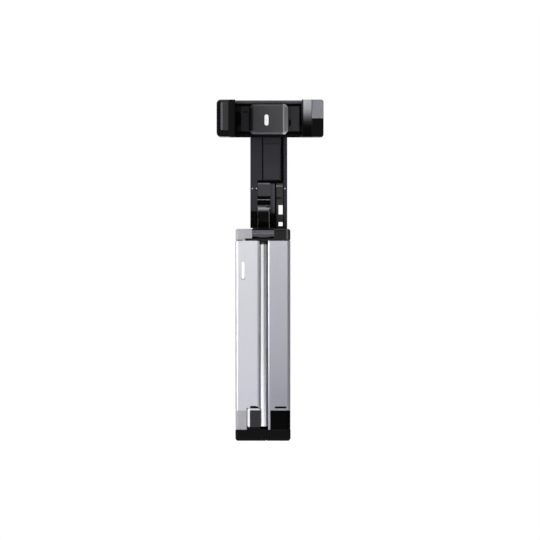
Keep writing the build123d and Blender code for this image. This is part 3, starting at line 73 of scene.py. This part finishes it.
def linear(colour):
    """A colour written as sRGB hex, turned to the linear red, green, blue and alpha of a socket."""
    code = colour.lstrip("#")
    parts = np.array([int(code[i:i + 2], 16) for i in (0, 2, 4)]) / 255.0
    values = np.where(parts <= 0.04045, parts / 12.92, ((parts + 0.055) / 1.055) ** 2.4)
    return (*values.tolist(), 1.0)


def add_node(tree, kind, inputs=None, **settings):
    """Adds a shader node, sets its properties, and fills or links its inputs by name or number."""
    made = tree.nodes.new(kind)
    for name, value in settings.items():
        setattr(made, name, value)
    for key, value in (inputs or {}).items():
        if isinstance(value, bpy.types.NodeSocket):
            tree.links.new(value, made.inputs[key])
        else:
            made.inputs[key].default_value = value
    return made


def new_material(name):
    """An empty node material: returns it with its node tree."""
    material = bpy.data.materials.new(name)
    material.use_nodes = True
    material.node_tree.nodes.clear()
    return material, material.node_tree


def close_material(tree, inputs):
    """Ends a material with one principled shader."""
    shader = add_node(tree, "ShaderNodeBsdfPrincipled", inputs)
    add_node(tree, "ShaderNodeOutputMaterial", {"Surface": shader.outputs[0]})


def mesh_piece(name, points, faces):
    """A smooth-shaded mesh object made from an array of points in metres and a list of faces."""
    mesh = bpy.data.meshes.new(name)
    mesh.from_pydata(points.tolist(), [], faces)
    mesh.update()
    mesh.polygons.foreach_set("use_smooth", np.full(len(mesh.polygons), True))
    return add_object(name, mesh)


def grid_faces(rows, columns, wrap=False, ring=False):
    """Quads between the points of a grid stored row by row.

    wrap joins the last column to the first, and ring the last row to the first."""
    down = np.arange(rows if ring else rows - 1)
    along = np.arange(columns if wrap else columns - 1)
    row, column = np.meshgrid(down, along, indexing="ij")
    below = (row + 1) % rows
    right = (column + 1) % columns
    corners = [
        row * columns + column, row * columns + right,
        below * columns + right, below * columns + column,
    ]
    return np.stack(corners, axis=-1).reshape(-1, 4).tolist()


def round_sheet(radius, rings, spokes):
    """Flat disc: rings of points whose radius grows evenly from the middle, facing up."""
    r = np.linspace(0.0, radius, rings)[:, None] + 1e-6
    turn = np.linspace(0, 2 * np.pi, spokes, endpoint=False)[None, :]
    points = np.stack([r * np.cos(turn), r * np.sin(turn), 0 * r * turn], axis=-1).reshape(-1, 3)
    return points, grid_faces(rings, spokes, wrap=True)


TABLE_RADIUS = 0.3
table = mesh_piece("table_top", *round_sheet(TABLE_RADIUS, 4, 64))
laminate, tree = new_material("white_laminate")
coords = add_node(tree, "ShaderNodeTexCoord")
tooth = add_node(tree, "ShaderNodeTexNoise", {
    "Vector": coords.outputs["Object"], "Scale": 900.0, "Detail": 2.0,
})
tooth_bump = add_node(tree, "ShaderNodeBump", {
    "Height": tooth.outputs[0], "Strength": 0.05, "Distance": 0.0001,
})
close_material(tree, {
    "Base Color": linear("#F6F6F6"), "Roughness": 0.7, "Normal": tooth_bump.outputs[0],
    "Emission Color": linear("#FFFFFF"), "Emission Strength": 0.85,
})
table.data.materials.append(laminate)


# ------------------------------------------------------------------ lights
# A large bright wall in front and a weaker one behind, a tall soft box on the
# left, a narrow strip on the right and a bank overhead. The room itself is dim,
# but its backdrop shows white.


def soft_box(name, place, target, width, height, power):
    """A rectangular area light that faces a target point."""
    data = bpy.data.lights.new(name, "AREA")
    data.shape = "RECTANGLE"
    data.size, data.size_y = width, height
    data.energy = power
    light = add_object(name, data)
    light.location = place
    aim = Vector(target) - Vector(place)
    light.rotation_euler = aim.to_track_quat("-Z", "Y").to_euler()


MIDDLE = (0.0, 0.0, 0.12)
FOOT = (0.0, 0.0, 0.0)
soft_box("front_wall", (-1.2, -4.3, 0.6), MIDDLE, 4.2, 2.4, 32.0)
soft_box("key_box", (-1.46, -0.84, 0.45), MIDDLE, 0.6, 1.5, 17.0)
soft_box("right_strip", (1.5, -0.42, 0.3), MIDDLE, 0.2, 1.2, 1.4)
soft_box("back_wall", (0.9, 3.4, 0.9), MIDDLE, 2.6, 2.2, 13.0)
soft_box("top_bank", (0.0, -0.3, 2.0), FOOT, 1.6, 1.0, 20.0)

world = bpy.data.worlds.new("studio_room")
bpy.context.scene.world = world
world.use_nodes = True
tree = world.node_tree
tree.nodes.clear()
room = add_node(tree, "ShaderNodeBackground", {"Color": linear("#D8DCE2"), "Strength": 0.14})
backdrop = add_node(tree, "ShaderNodeBackground", {"Color": linear("#FFFFFF"), "Strength": 1.0})
path = add_node(tree, "ShaderNodeLightPath")
shown = add_node(tree, "ShaderNodeMixShader", {
    0: path.outputs["Is Camera Ray"], 1: room.outputs[0], 2: backdrop.outputs[0],
})
add_node(tree, "ShaderNodeOutputWorld", {"Surface": shown.outputs[0]})


# --------------------------------------------------------------- leg shells
# Extruded aluminium skins of the three legs, bead-blasted and clear-anodised.
# The blasting leaves a silky grey-white face with faint drawn lines along it.


def soft_edges(tree, radius):
    """Normal that rounds every sharp edge by a small radius in metres, as tumbling and moulding do."""
    return add_node(tree, "ShaderNodeBevel", {"Radius": radius}, samples=4)


def tint_along(tree, coords, axis, stops, blend="LINEAR"):
    """Colour that changes along an object axis: stops are (place in mm, sRGB hex), from low to high."""
    split = add_node(tree, "ShaderNodeSeparateXYZ", {"Vector": coords.outputs["Object"]})
    low, high = stops[0][0], stops[-1][0]
    place = add_node(tree, "ShaderNodeMapRange", {
        "Value": split.outputs["XYZ".index(axis)], "From Min": low * MM, "From Max": high * MM,
    })
    ramp = add_node(tree, "ShaderNodeValToRGB", {"Fac": place.outputs[0]})
    ramp.color_ramp.interpolation = blend
    elements = ramp.color_ramp.elements
    while len(elements) < len(stops):
        elements.new(1.0)
    for element, (stop, colour) in zip(elements, stops):
        element.position = (stop - low) / (high - low)
        element.color = linear(colour)
    return ramp.outputs[0]


def painted(tree, coords, colour):
    """A colour for a socket: sRGB hex for an even one, or the axis, stops and blend of tint_along."""
    return linear(colour) if isinstance(colour, str) else tint_along(tree, coords, *colour)


def varied(tree, coords, colour, scale, amount):
    """The colour made lighter and darker by a share, in soft clouds of a noise scale, and those clouds."""
    clouds = add_node(tree, "ShaderNodeTexNoise", {"Vector": coords, "Scale": scale, "Detail": 3.0})
    shade = add_node(tree, "ShaderNodeMapRange", {
        "Value": clouds.outputs[0], "From Min": 0.3, "From Max": 0.7,
        "To Min": 1 - amount, "To Max": 1 + amount,
    })
    tone = add_node(tree, "ShaderNodeHueSaturation", {"Color": colour, "Value": shade.outputs[0]})
    return tone.outputs[0], clouds


def spread(tree, source, middle, half):
    """Maps a noise onto the range from middle - half to middle + half."""
    return add_node(tree, "ShaderNodeMapRange", {
        "Value": source.outputs[0], "From Min": 0.3, "From Max": 0.7,
        "To Min": middle - half, "To Max": middle + half,
    }).outputs[0]


def anodised_aluminium(name, stops):
    """Clear-anodised extruded aluminium: metal with drawn lines along Z, with painted shade along Z set by
    the stops.
    """
    material, tree = new_material(name)
    coords = add_node(tree, "ShaderNodeTexCoord")
    # drawn lines about 0.4 mm apart, stretched 60 times along the extrusion
    drawn_space = add_node(tree, "ShaderNodeMapping", {
        "Vector": coords.outputs["Object"], "Scale": (1.0, 1.0, 0.016),
    })
    # painted shade: the stops make the metal darker towards the foot
    shade_to_foot = tint_along(tree, coords, "Z", stops)
    tone, drawn = varied(tree, drawn_space.outputs[0], shade_to_foot, 2600.0, 0.018)
    # blasted grain, 0.12 mm across
    grain = add_node(tree, "ShaderNodeTexNoise", {
        "Vector": coords.outputs["Object"], "Scale": 8000.0, "Detail": 1.0,
    })
    soft = soft_edges(tree, 0.00012)
    relief = add_node(tree, "ShaderNodeBump", {
        "Height": grain.outputs[0], "Strength": 0.12, "Distance": 0.00002, "Normal": soft.outputs[0],
    })
    close_material(tree, {
        "Base Color": tone, "Metallic": 1.0, "Roughness": spread(tree, drawn, 0.36, 0.03),
        "Normal": relief.outputs[0],
    })
    return material


def dress(material, *names):
    """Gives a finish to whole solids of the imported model."""
    for name in names:
        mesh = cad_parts[name].data
        mesh.materials.clear()
        mesh.materials.append(material)


# the left leg: the lit copy, with painted shade darker towards the foot
lit_leg_metal = anodised_aluminium(
    "anodised_aluminium_lit", ((8, "#BCBCC4"), (30, "#C2C2CA"), (70, "#DCDCE3"), (130, "#F4F4F9")),
)
dress(lit_leg_metal, "left_leg_shell")
# the right and rear legs: a darker copy of the same metal, as painted shade
shaded_leg_metal = anodised_aluminium(
    "anodised_aluminium_shaded", ((8, "#8E8E97"), (30, "#96969F"), (70, "#B8B8C0"), (130, "#D9D9E0")),
)
dress(shaded_leg_metal, "right_leg_shell", "rear_leg_shell")


# ---------------------------------------------------------- black mouldings
# Leg cores, hub, bushes and plugs: glass-filled nylon, moulded in black with a
# fine spark-eroded grain that keeps it dull.


def blended(tree, first, second, blend):
    """Two colours joined: MULTIPLY lets one shade the other, LIGHTEN keeps the lighter of the two."""
    made = add_node(
        tree, "ShaderNodeMix", {0: 1.0, 6: first, 7: second}, data_type="RGBA", blend_type=blend,
    )
    return made.outputs[2]


def edge_lightened(tree, colour, soft, light_colour, share):
    """Painted highlight along edges, standing also for wear: the colour, blended towards a lighter one by a
    share where the rounded normal leaves the true one.
    """
    # it starts at 6 degrees between the two normals and is complete at 22
    true = add_node(tree, "ShaderNodeNewGeometry")
    facing = add_node(tree, "ShaderNodeVectorMath", {
        0: true.outputs["Normal"], 1: soft.outputs[0],
    }, operation="DOT_PRODUCT")
    edge_share = add_node(tree, "ShaderNodeMapRange", {
        "Value": facing.outputs["Value"], "From Min": 0.995, "From Max": 0.93,
        "To Min": 0.0, "To Max": share,
    })
    # painted highlight along the edges, standing also for wear
    made = add_node(
        tree, "ShaderNodeMix", {0: edge_share.outputs[0], 6: colour, 7: linear(light_colour)}, data_type="RGBA",
    )
    return made.outputs[2]


def moulded_plastic(
    name, colour, roughness, grain_size, grain_depth,
    edge=0.00015, specular=0.5, shade=None, shine=None, edge_light=None, glow=0.0,
):
    """Injection-moulded plastic with an eroded grain of a size in millimetres.

    colour, shade and shine are what painted takes: shade multiplies the colour, and
    shine lies over it where it is lighter. The edge light argument is None or the
    colour and share of a painted highlight along the edges, which stands also for
    wear. glow is the share of white light that the surface gives off, a painted glow."""
    material, tree = new_material(name)
    coords = add_node(tree, "ShaderNodeTexCoord")
    base = painted(tree, coords, colour)
    if shade:
        base = blended(tree, base, painted(tree, coords, shade), "MULTIPLY")
    if shine:
        base = blended(tree, base, painted(tree, coords, shine), "LIGHTEN")
    # flow marks of the mould, about 8 mm across
    tone, flow = varied(tree, coords.outputs["Object"], base, 120.0, 0.06)
    grain = add_node(tree, "ShaderNodeTexNoise", {
        "Vector": coords.outputs["Object"], "Scale": 1000.0 / grain_size, "Detail": 2.0,
    })
    soft = soft_edges(tree, edge)
    relief = add_node(tree, "ShaderNodeBump", {
        "Height": grain.outputs[0], "Strength": grain_depth, "Distance": 0.00003, "Normal": soft.outputs[0],
    })
    skin = edge_lightened(tree, tone, soft, *edge_light) if edge_light else tone
    close_material(tree, {
        "Base Color": skin, "Roughness": spread(tree, flow, roughness, 0.04),
        "Specular IOR Level": specular, "Normal": relief.outputs[0],
        "Emission Color": linear("#FFFFFF"), "Emission Strength": glow,
    })
    return material


black_nylon = moulded_plastic("black_glass_filled_nylon", "#060607", 0.5, 0.2, 0.35, specular=0.1)
dress(
    black_nylon, "left_leg_core", "right_leg_core", "rear_leg_core", "hub",
    "pole_bottom_plug", "tube_top_plug", "remote_switch",
    "tube_1_bush", "tube_2_bush", "tube_3_bush", "tube_4_bush",
    "tube_2_guide", "tube_3_guide", "tube_4_guide", "tube_5_guide",
)


# -------------------------------------------------------------------- pole
# Five drawn stainless sections, chrome plated and buffed along their length,
# which leaves hairlines too fine to see except in the highlights.


def bright_metal(name, colour, roughness, stretch, bare=None, specular=0.5):
    """Polished or turned metal with hairlines; stretch is the Mapping scale that draws them out.

    colour and bare are what painted takes: bare is white where the metal is bare, and
    black where the surface is not metal."""
    material, tree = new_material(name)
    coords = add_node(tree, "ShaderNodeTexCoord")
    base = painted(tree, coords, colour)
    space = add_node(tree, "ShaderNodeMapping", {"Vector": coords.outputs["Object"], "Scale": stretch})
    # hairlines 0.2 mm apart
    tone, hairs = varied(tree, space.outputs[0], base, 5000.0, 0.015)
    soft = soft_edges(tree, 0.00008)
    relief = add_node(tree, "ShaderNodeBump", {
        "Height": hairs.outputs[0], "Strength": 0.04, "Distance": 0.00001, "Normal": soft.outputs[0],
    })
    close_material(tree, {
        "Base Color": tone, "Metallic": painted(tree, coords, bare) if bare else 1.0,
        "Roughness": spread(tree, hairs, roughness, roughness * 0.2), "Specular IOR Level": specular,
        "Normal": relief.outputs[0],
    })
    return material


ALONG_Z = (1.0, 1.0, 0.01)
chrome = bright_metal("buffed_chrome_plate", "#F0F0F4", 0.3, ALONG_Z)
dress(chrome, "tube_1", "tube_2", "tube_3", "tube_4", "tube_5")


# ------------------------------------------------------- pins and the hinge
# Turned stainless pins and washers, left bright from the lathe, and the rings of
# the fold hinge, which carry painted shading: a painted highlight near the top of
# the barrel, darker towards its edges. The neck is cast zinc: bare metal with the
# same painted shading at its barrel and its knuckle, and near black between them.

ALONG_X = (0.05, 1.0, 1.0)
turned_steel = bright_metal("turned_stainless_steel", "#B9BABD", 0.3, ALONG_X)
dress(turned_steel, "leg_pins", "fold_pin", "swivel_washer", "swivel_screw")
# the pins right of x = 9 mm, the roller among them, are darker than the rest
pin_steel = bright_metal(
    "pin_steel_darker_right", ("X", ((-9, "#B4B4B8"), (9, "#7A7A78"), (20, "#7A7A78")), "CONSTANT"), 0.34, ALONG_X,
)
dress(pin_steel, "arm_pins")
# painted shading of the fold barrel: a painted highlight near its top, darker towards its edges
BARREL_PAINTED_SHADING = (
    (131.2, "#0A0A0B"), (131.9, "#444448"), (133.2, "#4A4A4E"), (134.3, "#74747A"), (135.2, "#A4A4AA"),
    (136.0, "#4A4A4E"), (136.8, "#1C1C1E"), (137.4, "#080808"),
)
# painted shading of the knuckle: a painted highlight across its middle, darker above and below
KNUCKLE_PAINTED_SHADING = (
    (148.5, "#1C1C1E"), (149.6, "#47474A"), (150.8, "#86868A"), (152.2, "#424245"), (153.6, "#2C2C2E"),
)
# the neck between its barrel and its knuckle: near black
NECK_MIDDLE_BLACK = ((137.5, "#040404"), (148.4, "#040404"))
ring_steel_painted_shading = bright_metal("ring_steel_painted_shading", ("Z", BARREL_PAINTED_SHADING), 0.34, ALONG_X)
dress(ring_steel_painted_shading, "fold_washers")
neck_zinc = bright_metal(
    "zinc_painted_shading", ("Z", BARREL_PAINTED_SHADING + NECK_MIDDLE_BLACK + KNUCKLE_PAINTED_SHADING), 0.36, ALONG_X, specular=0.02,
    bare=("Z", ((130, "#FFFFFF"), (137.5, "#000000"), (149.25, "#FFFFFF"), (156, "#FFFFFF")), "CONSTANT"),
)
dress(neck_zinc, "neck_link")
knuckle_steel = bright_metal("knuckle_steel", ("Z", KNUCKLE_PAINTED_SHADING), 0.34, ALONG_X)
dress(knuckle_steel, "tilt_washers")


# --------------------------------------------------------- caps and leg ends
# The left side cap and leg end are painted silver-grey, the right ones are
# moulded in piano black; both come from polished moulds.

# painted shade: the silver darkens towards the foot, so the leg end is darker than the side cap
silver_paint = moulded_plastic(
    "silver_grey_painted_abs", ("Z", ((7, "#969699"), (138, "#B4B4B8"))), 0.34, 0.25, 0.08,
    edge=0.0003, edge_light=("#F0F0F2", 0.7),
)
dress(silver_paint, "head_side_cap", "left_leg_end")
# the head: a painted highlight, a lighter line near its right edge
HEAD_PAINTED_HIGHLIGHT = (
    (-18, "#070708"), (14.4, "#070708"), (15.1, "#2C2C2E"), (15.7, "#58585C"), (16.2, "#58585C"),
    (16.7, "#0A0A0B"), (18, "#0A0A0B"),
)
piano_black = moulded_plastic(
    "piano_black_abs", ("X", HEAD_PAINTED_HIGHLIGHT), 0.12, 0.6, 0.03,
    edge=0.0003, specular=0.25, edge_light=("#4A4A4C", 0.6),
)
dress(piano_black, "head_base")
deep_black = moulded_plastic(
    "deep_black_abs", "#010101", 0.16, 0.6, 0.03, edge=0.0003, specular=0.03, edge_light=("#38383A", 0.5),
)
dress(deep_black, "right_leg_end")
# the left jaw: a painted highlight, a grey line along its top
JAW_TOP_HIGHLIGHT = ((197, "#060607"), (219.6, "#060607"), (219.9, "#404042"), (221.2, "#404042"))
jaw_black = moulded_plastic(
    "jaw_black_abs", ("Z", JAW_TOP_HIGHLIGHT), 0.16, 0.6, 0.03,
    edge=0.0003, specular=0.07, edge_light=("#48484A", 0.5),
)
dress(jaw_black, "left_jaw_shell")
# the grip: black, with a painted highlight on its left bevel, and its top edge lighter
grip_abs = moulded_plastic(
    "bevelled_grip_abs", ("X", ((-12, "#E0E0E3"), (-8.55, "#1A1A1D"), (0, "#1A1A1D")), "CONSTANT"),
    0.34, 0.25, 0.1, specular=0.3, edge_light=("#6A6A6E", 0.5),
    shine=("Z", ((8, "#000000"), (19.9, "#C4C4CA"), (22, "#C4C4CA")), "CONSTANT"),
)
dress(grip_abs, "left_grip_block")


# --------------------------------------------------------------------- arm
# Moulded arm, its raised panel and the parts of its tilt hinge: dark grey
# nylon with a satin face. Whatever lies more than 0.4 mm behind that face, grooves,
# recesses, sides and back, is painted black as painted shade.

ARM_FACE = 3.7
# painted shade: the arm is black wherever it lies deeper than this behind its face
SHADE_DEPTH = ARM_FACE + 0.4
arm_satin = moulded_plastic(
    "satin_grey_nylon", ("Y", ((2.7, "#39393E"), (SHADE_DEPTH, "#020202"), (8.7, "#020202")), "CONSTANT"),
    0.42, 0.18, 0.2, specular=0.06, edge_light=("#606066", 0.4),
)
dress(arm_satin, "arm_body")
panel_nylon = moulded_plastic(
    "panel_nylon", "#38383D", 0.4, 0.18, 0.2, specular=0.15, edge_light=("#5C5C62", 0.4),
)
dress(panel_nylon, "arm_panel")
# the stop block: a painted highlight along its top edge, and a little darker at its foot
BLOCK_PAINTED_LIGHT = (
    (158, "#3C3C40"), (160, "#46464A"), (166.5, "#46464A"), (166.7, "#74747A"), (168, "#74747A"),
)
block_nylon = moulded_plastic(
    "block_nylon", ("Z", BLOCK_PAINTED_LIGHT), 0.38, 0.18, 0.2, specular=0.15, edge_light=("#8A8A90", 0.6),
)
dress(block_nylon, "tilt_stop_block")
BRACKET_SHADES = (
    (4.8, "#1A1A1C"), (5.3, "#404044"), (6.4, "#444448"), (7.0, "#505055"), (7.7, "#48484C"),
)
bracket_nylon = moulded_plastic(
    "bracket_nylon", ("X", BRACKET_SHADES), 0.38, 0.18, 0.2, specular=0.15, edge_light=("#8A8A90", 0.6),
)
dress(bracket_nylon, "tilt_bracket")
strut_nylon = moulded_plastic(
    "strut_nylon", "#3E3E3C", 0.4, 0.18, 0.2, specular=0.15, edge_light=("#74746F", 0.5),
)
dress(strut_nylon, "slotted_strut")


# ------------------------------------------------------------------- clamp
# The cushion block is soft-touch coated; tray and slide plates are black
# acetal; the gear and spring drum inside are natural nylon. The block's inlay
# is white, like the shutter button, and both give off a painted glow. The block,
# tray and slides carry painted highlights and painted shade.

# painted light across the rest: painted shade on its left bevel, painted highlight on its right bevel
REST_PAINTED_LIGHT_X = (
    (-8.9, "#0E0E10"), (-8.1, "#202022"), (-6.8, "#434347"), (-5.5, "#5C5C60"), (0, "#646468"),
    (12.7, "#6A6A6E"), (13.3, "#DADADE"), (14.5, "#CACACE"), (16.0, "#DADADE"), (16.5, "#8A8A8E"),
)
# painted highlight on its bottom bevel, and its top strip lighter than its face
REST_PAINTED_LIGHT_Z = (
    (199, "#FFFFFF"), (200.0, "#FFFFFF"), (200.3, "#BCBCBC"), (216.6, "#BCBCBC"), (217.4, "#D0D0D0"),
    (221, "#D0D0D0"),
)
soft_touch = moulded_plastic(
    "soft_touch_coating", ("X", REST_PAINTED_LIGHT_X), 0.38, 0.15, 0.15,
    edge=0.0002, specular=0.3, shade=("Z", REST_PAINTED_LIGHT_Z), edge_light=("#A8A8AC", 0.4),
)
dress(soft_touch, "phone_rest")
# painted light on the tray: a painted highlight along its top edge, darker below
TRAY_PAINTED_LIGHT = (
    (197, "#2A2A2A"), (217.6, "#2A2A2A"), (218.8, "#B0B0B0"), (219.6, "#C4C4C4"), (220.2, "#FFFFFF"),
)
# painted shade: the tray is black wherever it lies behind its front lip
tray_black = moulded_plastic(
    "black_acetal", ("Y", ((-3, "#6E6E70"), (-1.9, "#050505"), (3, "#050505")), "CONSTANT"),
    0.4, 0.2, 0.2, edge=0.0002, specular=0.05, shade=("Z", TRAY_PAINTED_LIGHT),
)
dress(tray_black, "clamp_tray")
# painted shade: the left plate is a darker copy of the right, and each is black more than 1 mm behind its
# face
for slide, grey in (("left_slide", "#28282A"), ("right_slide", "#38383B")):
    dress(moulded_plastic(
        slide + "_acetal", ("Y", ((-3, grey), (-1.0, "#030303"), (3, "#030303")), "CONSTANT"),
        0.4, 0.2, 0.2, specular=0.15, edge_light=("#5A5A5C", 0.5),
    ), slide)
natural_nylon = moulded_plastic("natural_nylon", "#D9D6CB", 0.45, 0.2, 0.2)
dress(natural_nylon, "pinion", "spring_drum")
# painted glow: the white gives off light of its own, though it is no lamp
glowing_white_abs = moulded_plastic("glowing_white_abs", "#FFFFFF", 0.3, 0.3, 0.05, glow=0.3)
dress(glowing_white_abs, "phone_rest_inlay", "shutter_button")


# -------------------------------------------------------------------- jaws
# The right jaw is black, with a painted reflection over its upper half down to
# the ridge, and its pad carries the same painted reflection, fading from light
# at the top to black at the bottom. The left jaw is piano black with a grey
# silicone tip bar.

# painted reflection: the jaw is light above the ridge and black below it
jaw_painted_reflection = moulded_plastic(
    "black_lacquer_painted_reflection", ("Z", ((190, "#030303"), (208.8, "#93939A"), (222, "#93939A")), "CONSTANT"),
    0.3, 0.3, 0.05, edge=0.0003, specular=0.1, edge_light=("#C8C8CC", 0.3),
)
dress(jaw_painted_reflection, "right_jaw_shell")
# painted reflection on the pad, fading from light at the top to black at the bottom
PAD_PAINTED_REFLECTION = (
    (197, "#010101"), (201.5, "#020202"), (204.1, "#0A0A0A"), (206.7, "#2C2C2E"), (209.3, "#5C5C5F"),
    (211.9, "#8C8C8F"), (214.5, "#ACACAF"), (217.1, "#BCBCBF"), (220, "#C4C4C7"),
)
# painted shade along the pad's left edge, and a little along its right edge
PAD_EDGE_SHADE = (
    (24.9, "#3C3C3C"), (25.9, "#404040"), (26.4, "#FFFFFF"), (31.0, "#FFFFFF"), (31.6, "#A0A0A0"),
)
shaded_silicone = moulded_plastic(
    "shaded_silicone", ("Z", PAD_PAINTED_REFLECTION), 0.38, 0.15, 0.1, specular=0.05, shade=("X", PAD_EDGE_SHADE),
)
dress(shaded_silicone, "right_jaw_pad")
silicone = moulded_plastic("black_silicone", "#161617", 0.42, 0.15, 0.15, specular=0.05)
dress(silicone, "left_jaw_pad")
# the tip bar: a painted highlight along its left edge, darker towards its right
TIP_EDGE_HIGHLIGHT = (
    (-27.5, "#6A6A6E"), (-26.3, "#64646A"), (-25.9, "#323236"), (-23.1, "#303034"), (-22.3, "#222225"),
)
grey_silicone = moulded_plastic("grey_silicone", ("X", TIP_EDGE_HIGHLIGHT), 0.45, 0.15, 0.2, specular=0.4)
dress(grey_silicone, "left_jaw_tip")


# -------------------------------------------------------------------- feet
# Moulded rubber shoes: dense black, a little shiny from the mould.

foot_rubber = moulded_plastic(
    "moulded_rubber", "#030303", 0.3, 0.3, 0.2, edge=0.0003, specular=0.07, edge_light=("#505052", 0.45),
)
dress(foot_rubber, "left_foot", "right_foot", "rear_foot")


# ------------------------------------------------------------------ remote
# Inside the left leg: a solder-masked board and a foil-wrapped cell.

solder_mask = moulded_plastic("green_solder_mask", "#0E3B1E", 0.3, 0.4, 0.1)
dress(solder_mask, "remote_board")
EVEN = (1.0, 1.0, 1.0)
cell_foil = bright_metal("cell_foil", "#A9ABAE", 0.3, EVEN)
dress(cell_foil, "remote_battery")


# ------------------------------------------------------------- slot shades
# Black bars laid into the thumb slots of the two front legs, a hair proud of
# the skin, with round ends and a crowned face: painted shade in the slots.

LEG_FACE = -12.0
PROUD = 0.01
SLOT_SHADES = (
    ("left_slot_shade", -5.4, 21.6, 5.0, 1.5, "left_leg"),
    ("right_slot_shade", 11.4, 21.75, 7.7, 1.3, "right_leg"),
)


def turned_over(faces):
    """The same faces, looking the other way."""
    return [face[::-1] for face in faces]


def crowned_bar(width, height, crown):
    """Stadium-shaped button: rings shrink towards the middle line while the face rises as 1 - t squared."""
    rings, spokes = 5, 40
    turn = np.linspace(0, 2 * np.pi, spokes, endpoint=False)
    radius = min(width, height) / 2
    shift_x = (width / 2 - radius) * np.sign(np.cos(turn))
    shift_z = (height / 2 - radius) * np.sign(np.sin(turn))
    t = np.linspace(1.0, 0.0, rings)[:, None]
    shrink = radius * (t * 0.999 + 0.001)
    x = shift_x + shrink * np.cos(turn)
    z = shift_z + shrink * np.sin(turn)
    y = -crown * (1 - t ** 2) + 0 * turn
    points = np.stack([x, y, z], axis=-1).reshape(-1, 3)
    front = list(range((rings - 1) * spokes, rings * spokes))
    back = list(range(spokes))[::-1]
    return points, grid_faces(rings, spokes, wrap=True) + [front, back]


# painted shade: a near-black bar over each slot
slot_shade_black = moulded_plastic("slot_shade_black", "#040404", 0.5, 0.2, 0.2, specular=0.02)
for name, x, z, width, height, body in SLOT_SHADES:
    points, faces = crowned_bar(width, height, crown=0.08)
    slot_shade = mesh_piece(name, (points + np.array((x, LEG_FACE - PROUD, z))) * MM, faces)
    slot_shade.data.materials.append(slot_shade_black)
    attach(slot_shade, body)


# ------------------------------------------------------------- button lip
# The shutter button's own lip: a rounded band round the edge of the white cap,
# pale grey, with a painted shadow of its recess at its foot.


def stadium_ring(width, height, band, crown):
    """Closed band round a stadium: an ellipse, band wide and two crowns deep, carried along its outline."""
    section, spokes = 8, 48
    turn = np.linspace(0, 2 * np.pi, spokes, endpoint=False)[None, :]
    lap = np.linspace(0, 2 * np.pi, section, endpoint=False)[:, None]
    radius = min(width, height) / 2 + band / 2 * np.cos(lap)
    x = (width - min(width, height)) / 2 * np.sign(np.cos(turn)) + radius * np.cos(turn)
    z = (height - min(width, height)) / 2 * np.sign(np.sin(turn) + 1e-9) + radius * np.sin(turn)
    y = -crown * np.sin(lap) + 0 * turn
    points = np.stack([x, y, z], axis=-1).reshape(-1, 3)
    return points, turned_over(grid_faces(section, spokes, wrap=True, ring=True))


BUTTON_PROUD = 0.15
BUTTON_CENTRE = np.array((-12.9, LEG_FACE - BUTTON_PROUD - 2 * PROUD, 110.5))
# painted shadow: the band is dark at its foot
LIP_PAINTED_SHADOW = ((104.4, "#1A1A1C"), (105.3, "#2A2A2C"), (106.0, "#C8C8CC"), (116.4, "#C8C8CC"))
points, faces = stadium_ring(width=2.04, height=11.34, band=0.4, crown=0.06)
lip = mesh_piece("button_lip", (points + BUTTON_CENTRE) * MM, faces)
lip.data.materials.append(moulded_plastic(
    "grey_button_lip", ("Z", LIP_PAINTED_SHADOW), 0.4, 0.3, 0.05, specular=0.2,
))
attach(lip, "button")


# ---------------------------------------------------------- side cap's heel
# A silver lug that the side cap sends down to the leg's top, beside the hinge,
# to close the joint in front.

HEEL_CENTRE = np.array((-12.2, -11.5, 130.15))
points, faces = crowned_bar(width=2.0, height=0.66, crown=0.25)
heel = mesh_piece("side_cap_heel", (points + HEEL_CENTRE) * MM, faces)
heel.data.materials.append(silver_paint)
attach(heel, "head")


# ------------------------------------------------------------- rail rivets
# Three bright peened ends of the hinge pins on the arm's two rails, each a
# shallow dome 0.9 mm across that is turned from a short profile.


def dome(radius, height):
    """Shallow cap: rings of points whose height falls off as 1 - (r / radius) squared."""
    rings, spokes = 5, 20
    r = np.linspace(0.0, radius, rings)[:, None] + 1e-6
    turn = np.linspace(0, 2 * np.pi, spokes, endpoint=False)[None, :]
    x = r * np.cos(turn)
    z = r * np.sin(turn)
    y = -height * (1 - (r / radius) ** 2) + 0 * turn
    points = np.stack([x, y, z], axis=-1).reshape(-1, 3)
    return points, turned_over(grid_faces(rings, spokes, wrap=True))


rivet_steel = bright_metal("peened_steel", "#C8C9CC", 0.28, EVEN)
RIVETS = [np.array((x, ARM_FACE - PROUD, 163.9)) for x in (-6.8, -4.2, 14.3)]
points, faces = dome(radius=0.45, height=0.22)
all_points = np.concatenate([points + place for place in RIVETS]) * MM
all_faces = np.concatenate([np.array(faces) + len(points) * index for index in range(len(RIVETS))])
rivets = mesh_piece("rail_rivets", all_points, all_faces.tolist())
rivets.data.materials.append(rivet_steel)
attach(rivets, "arm")
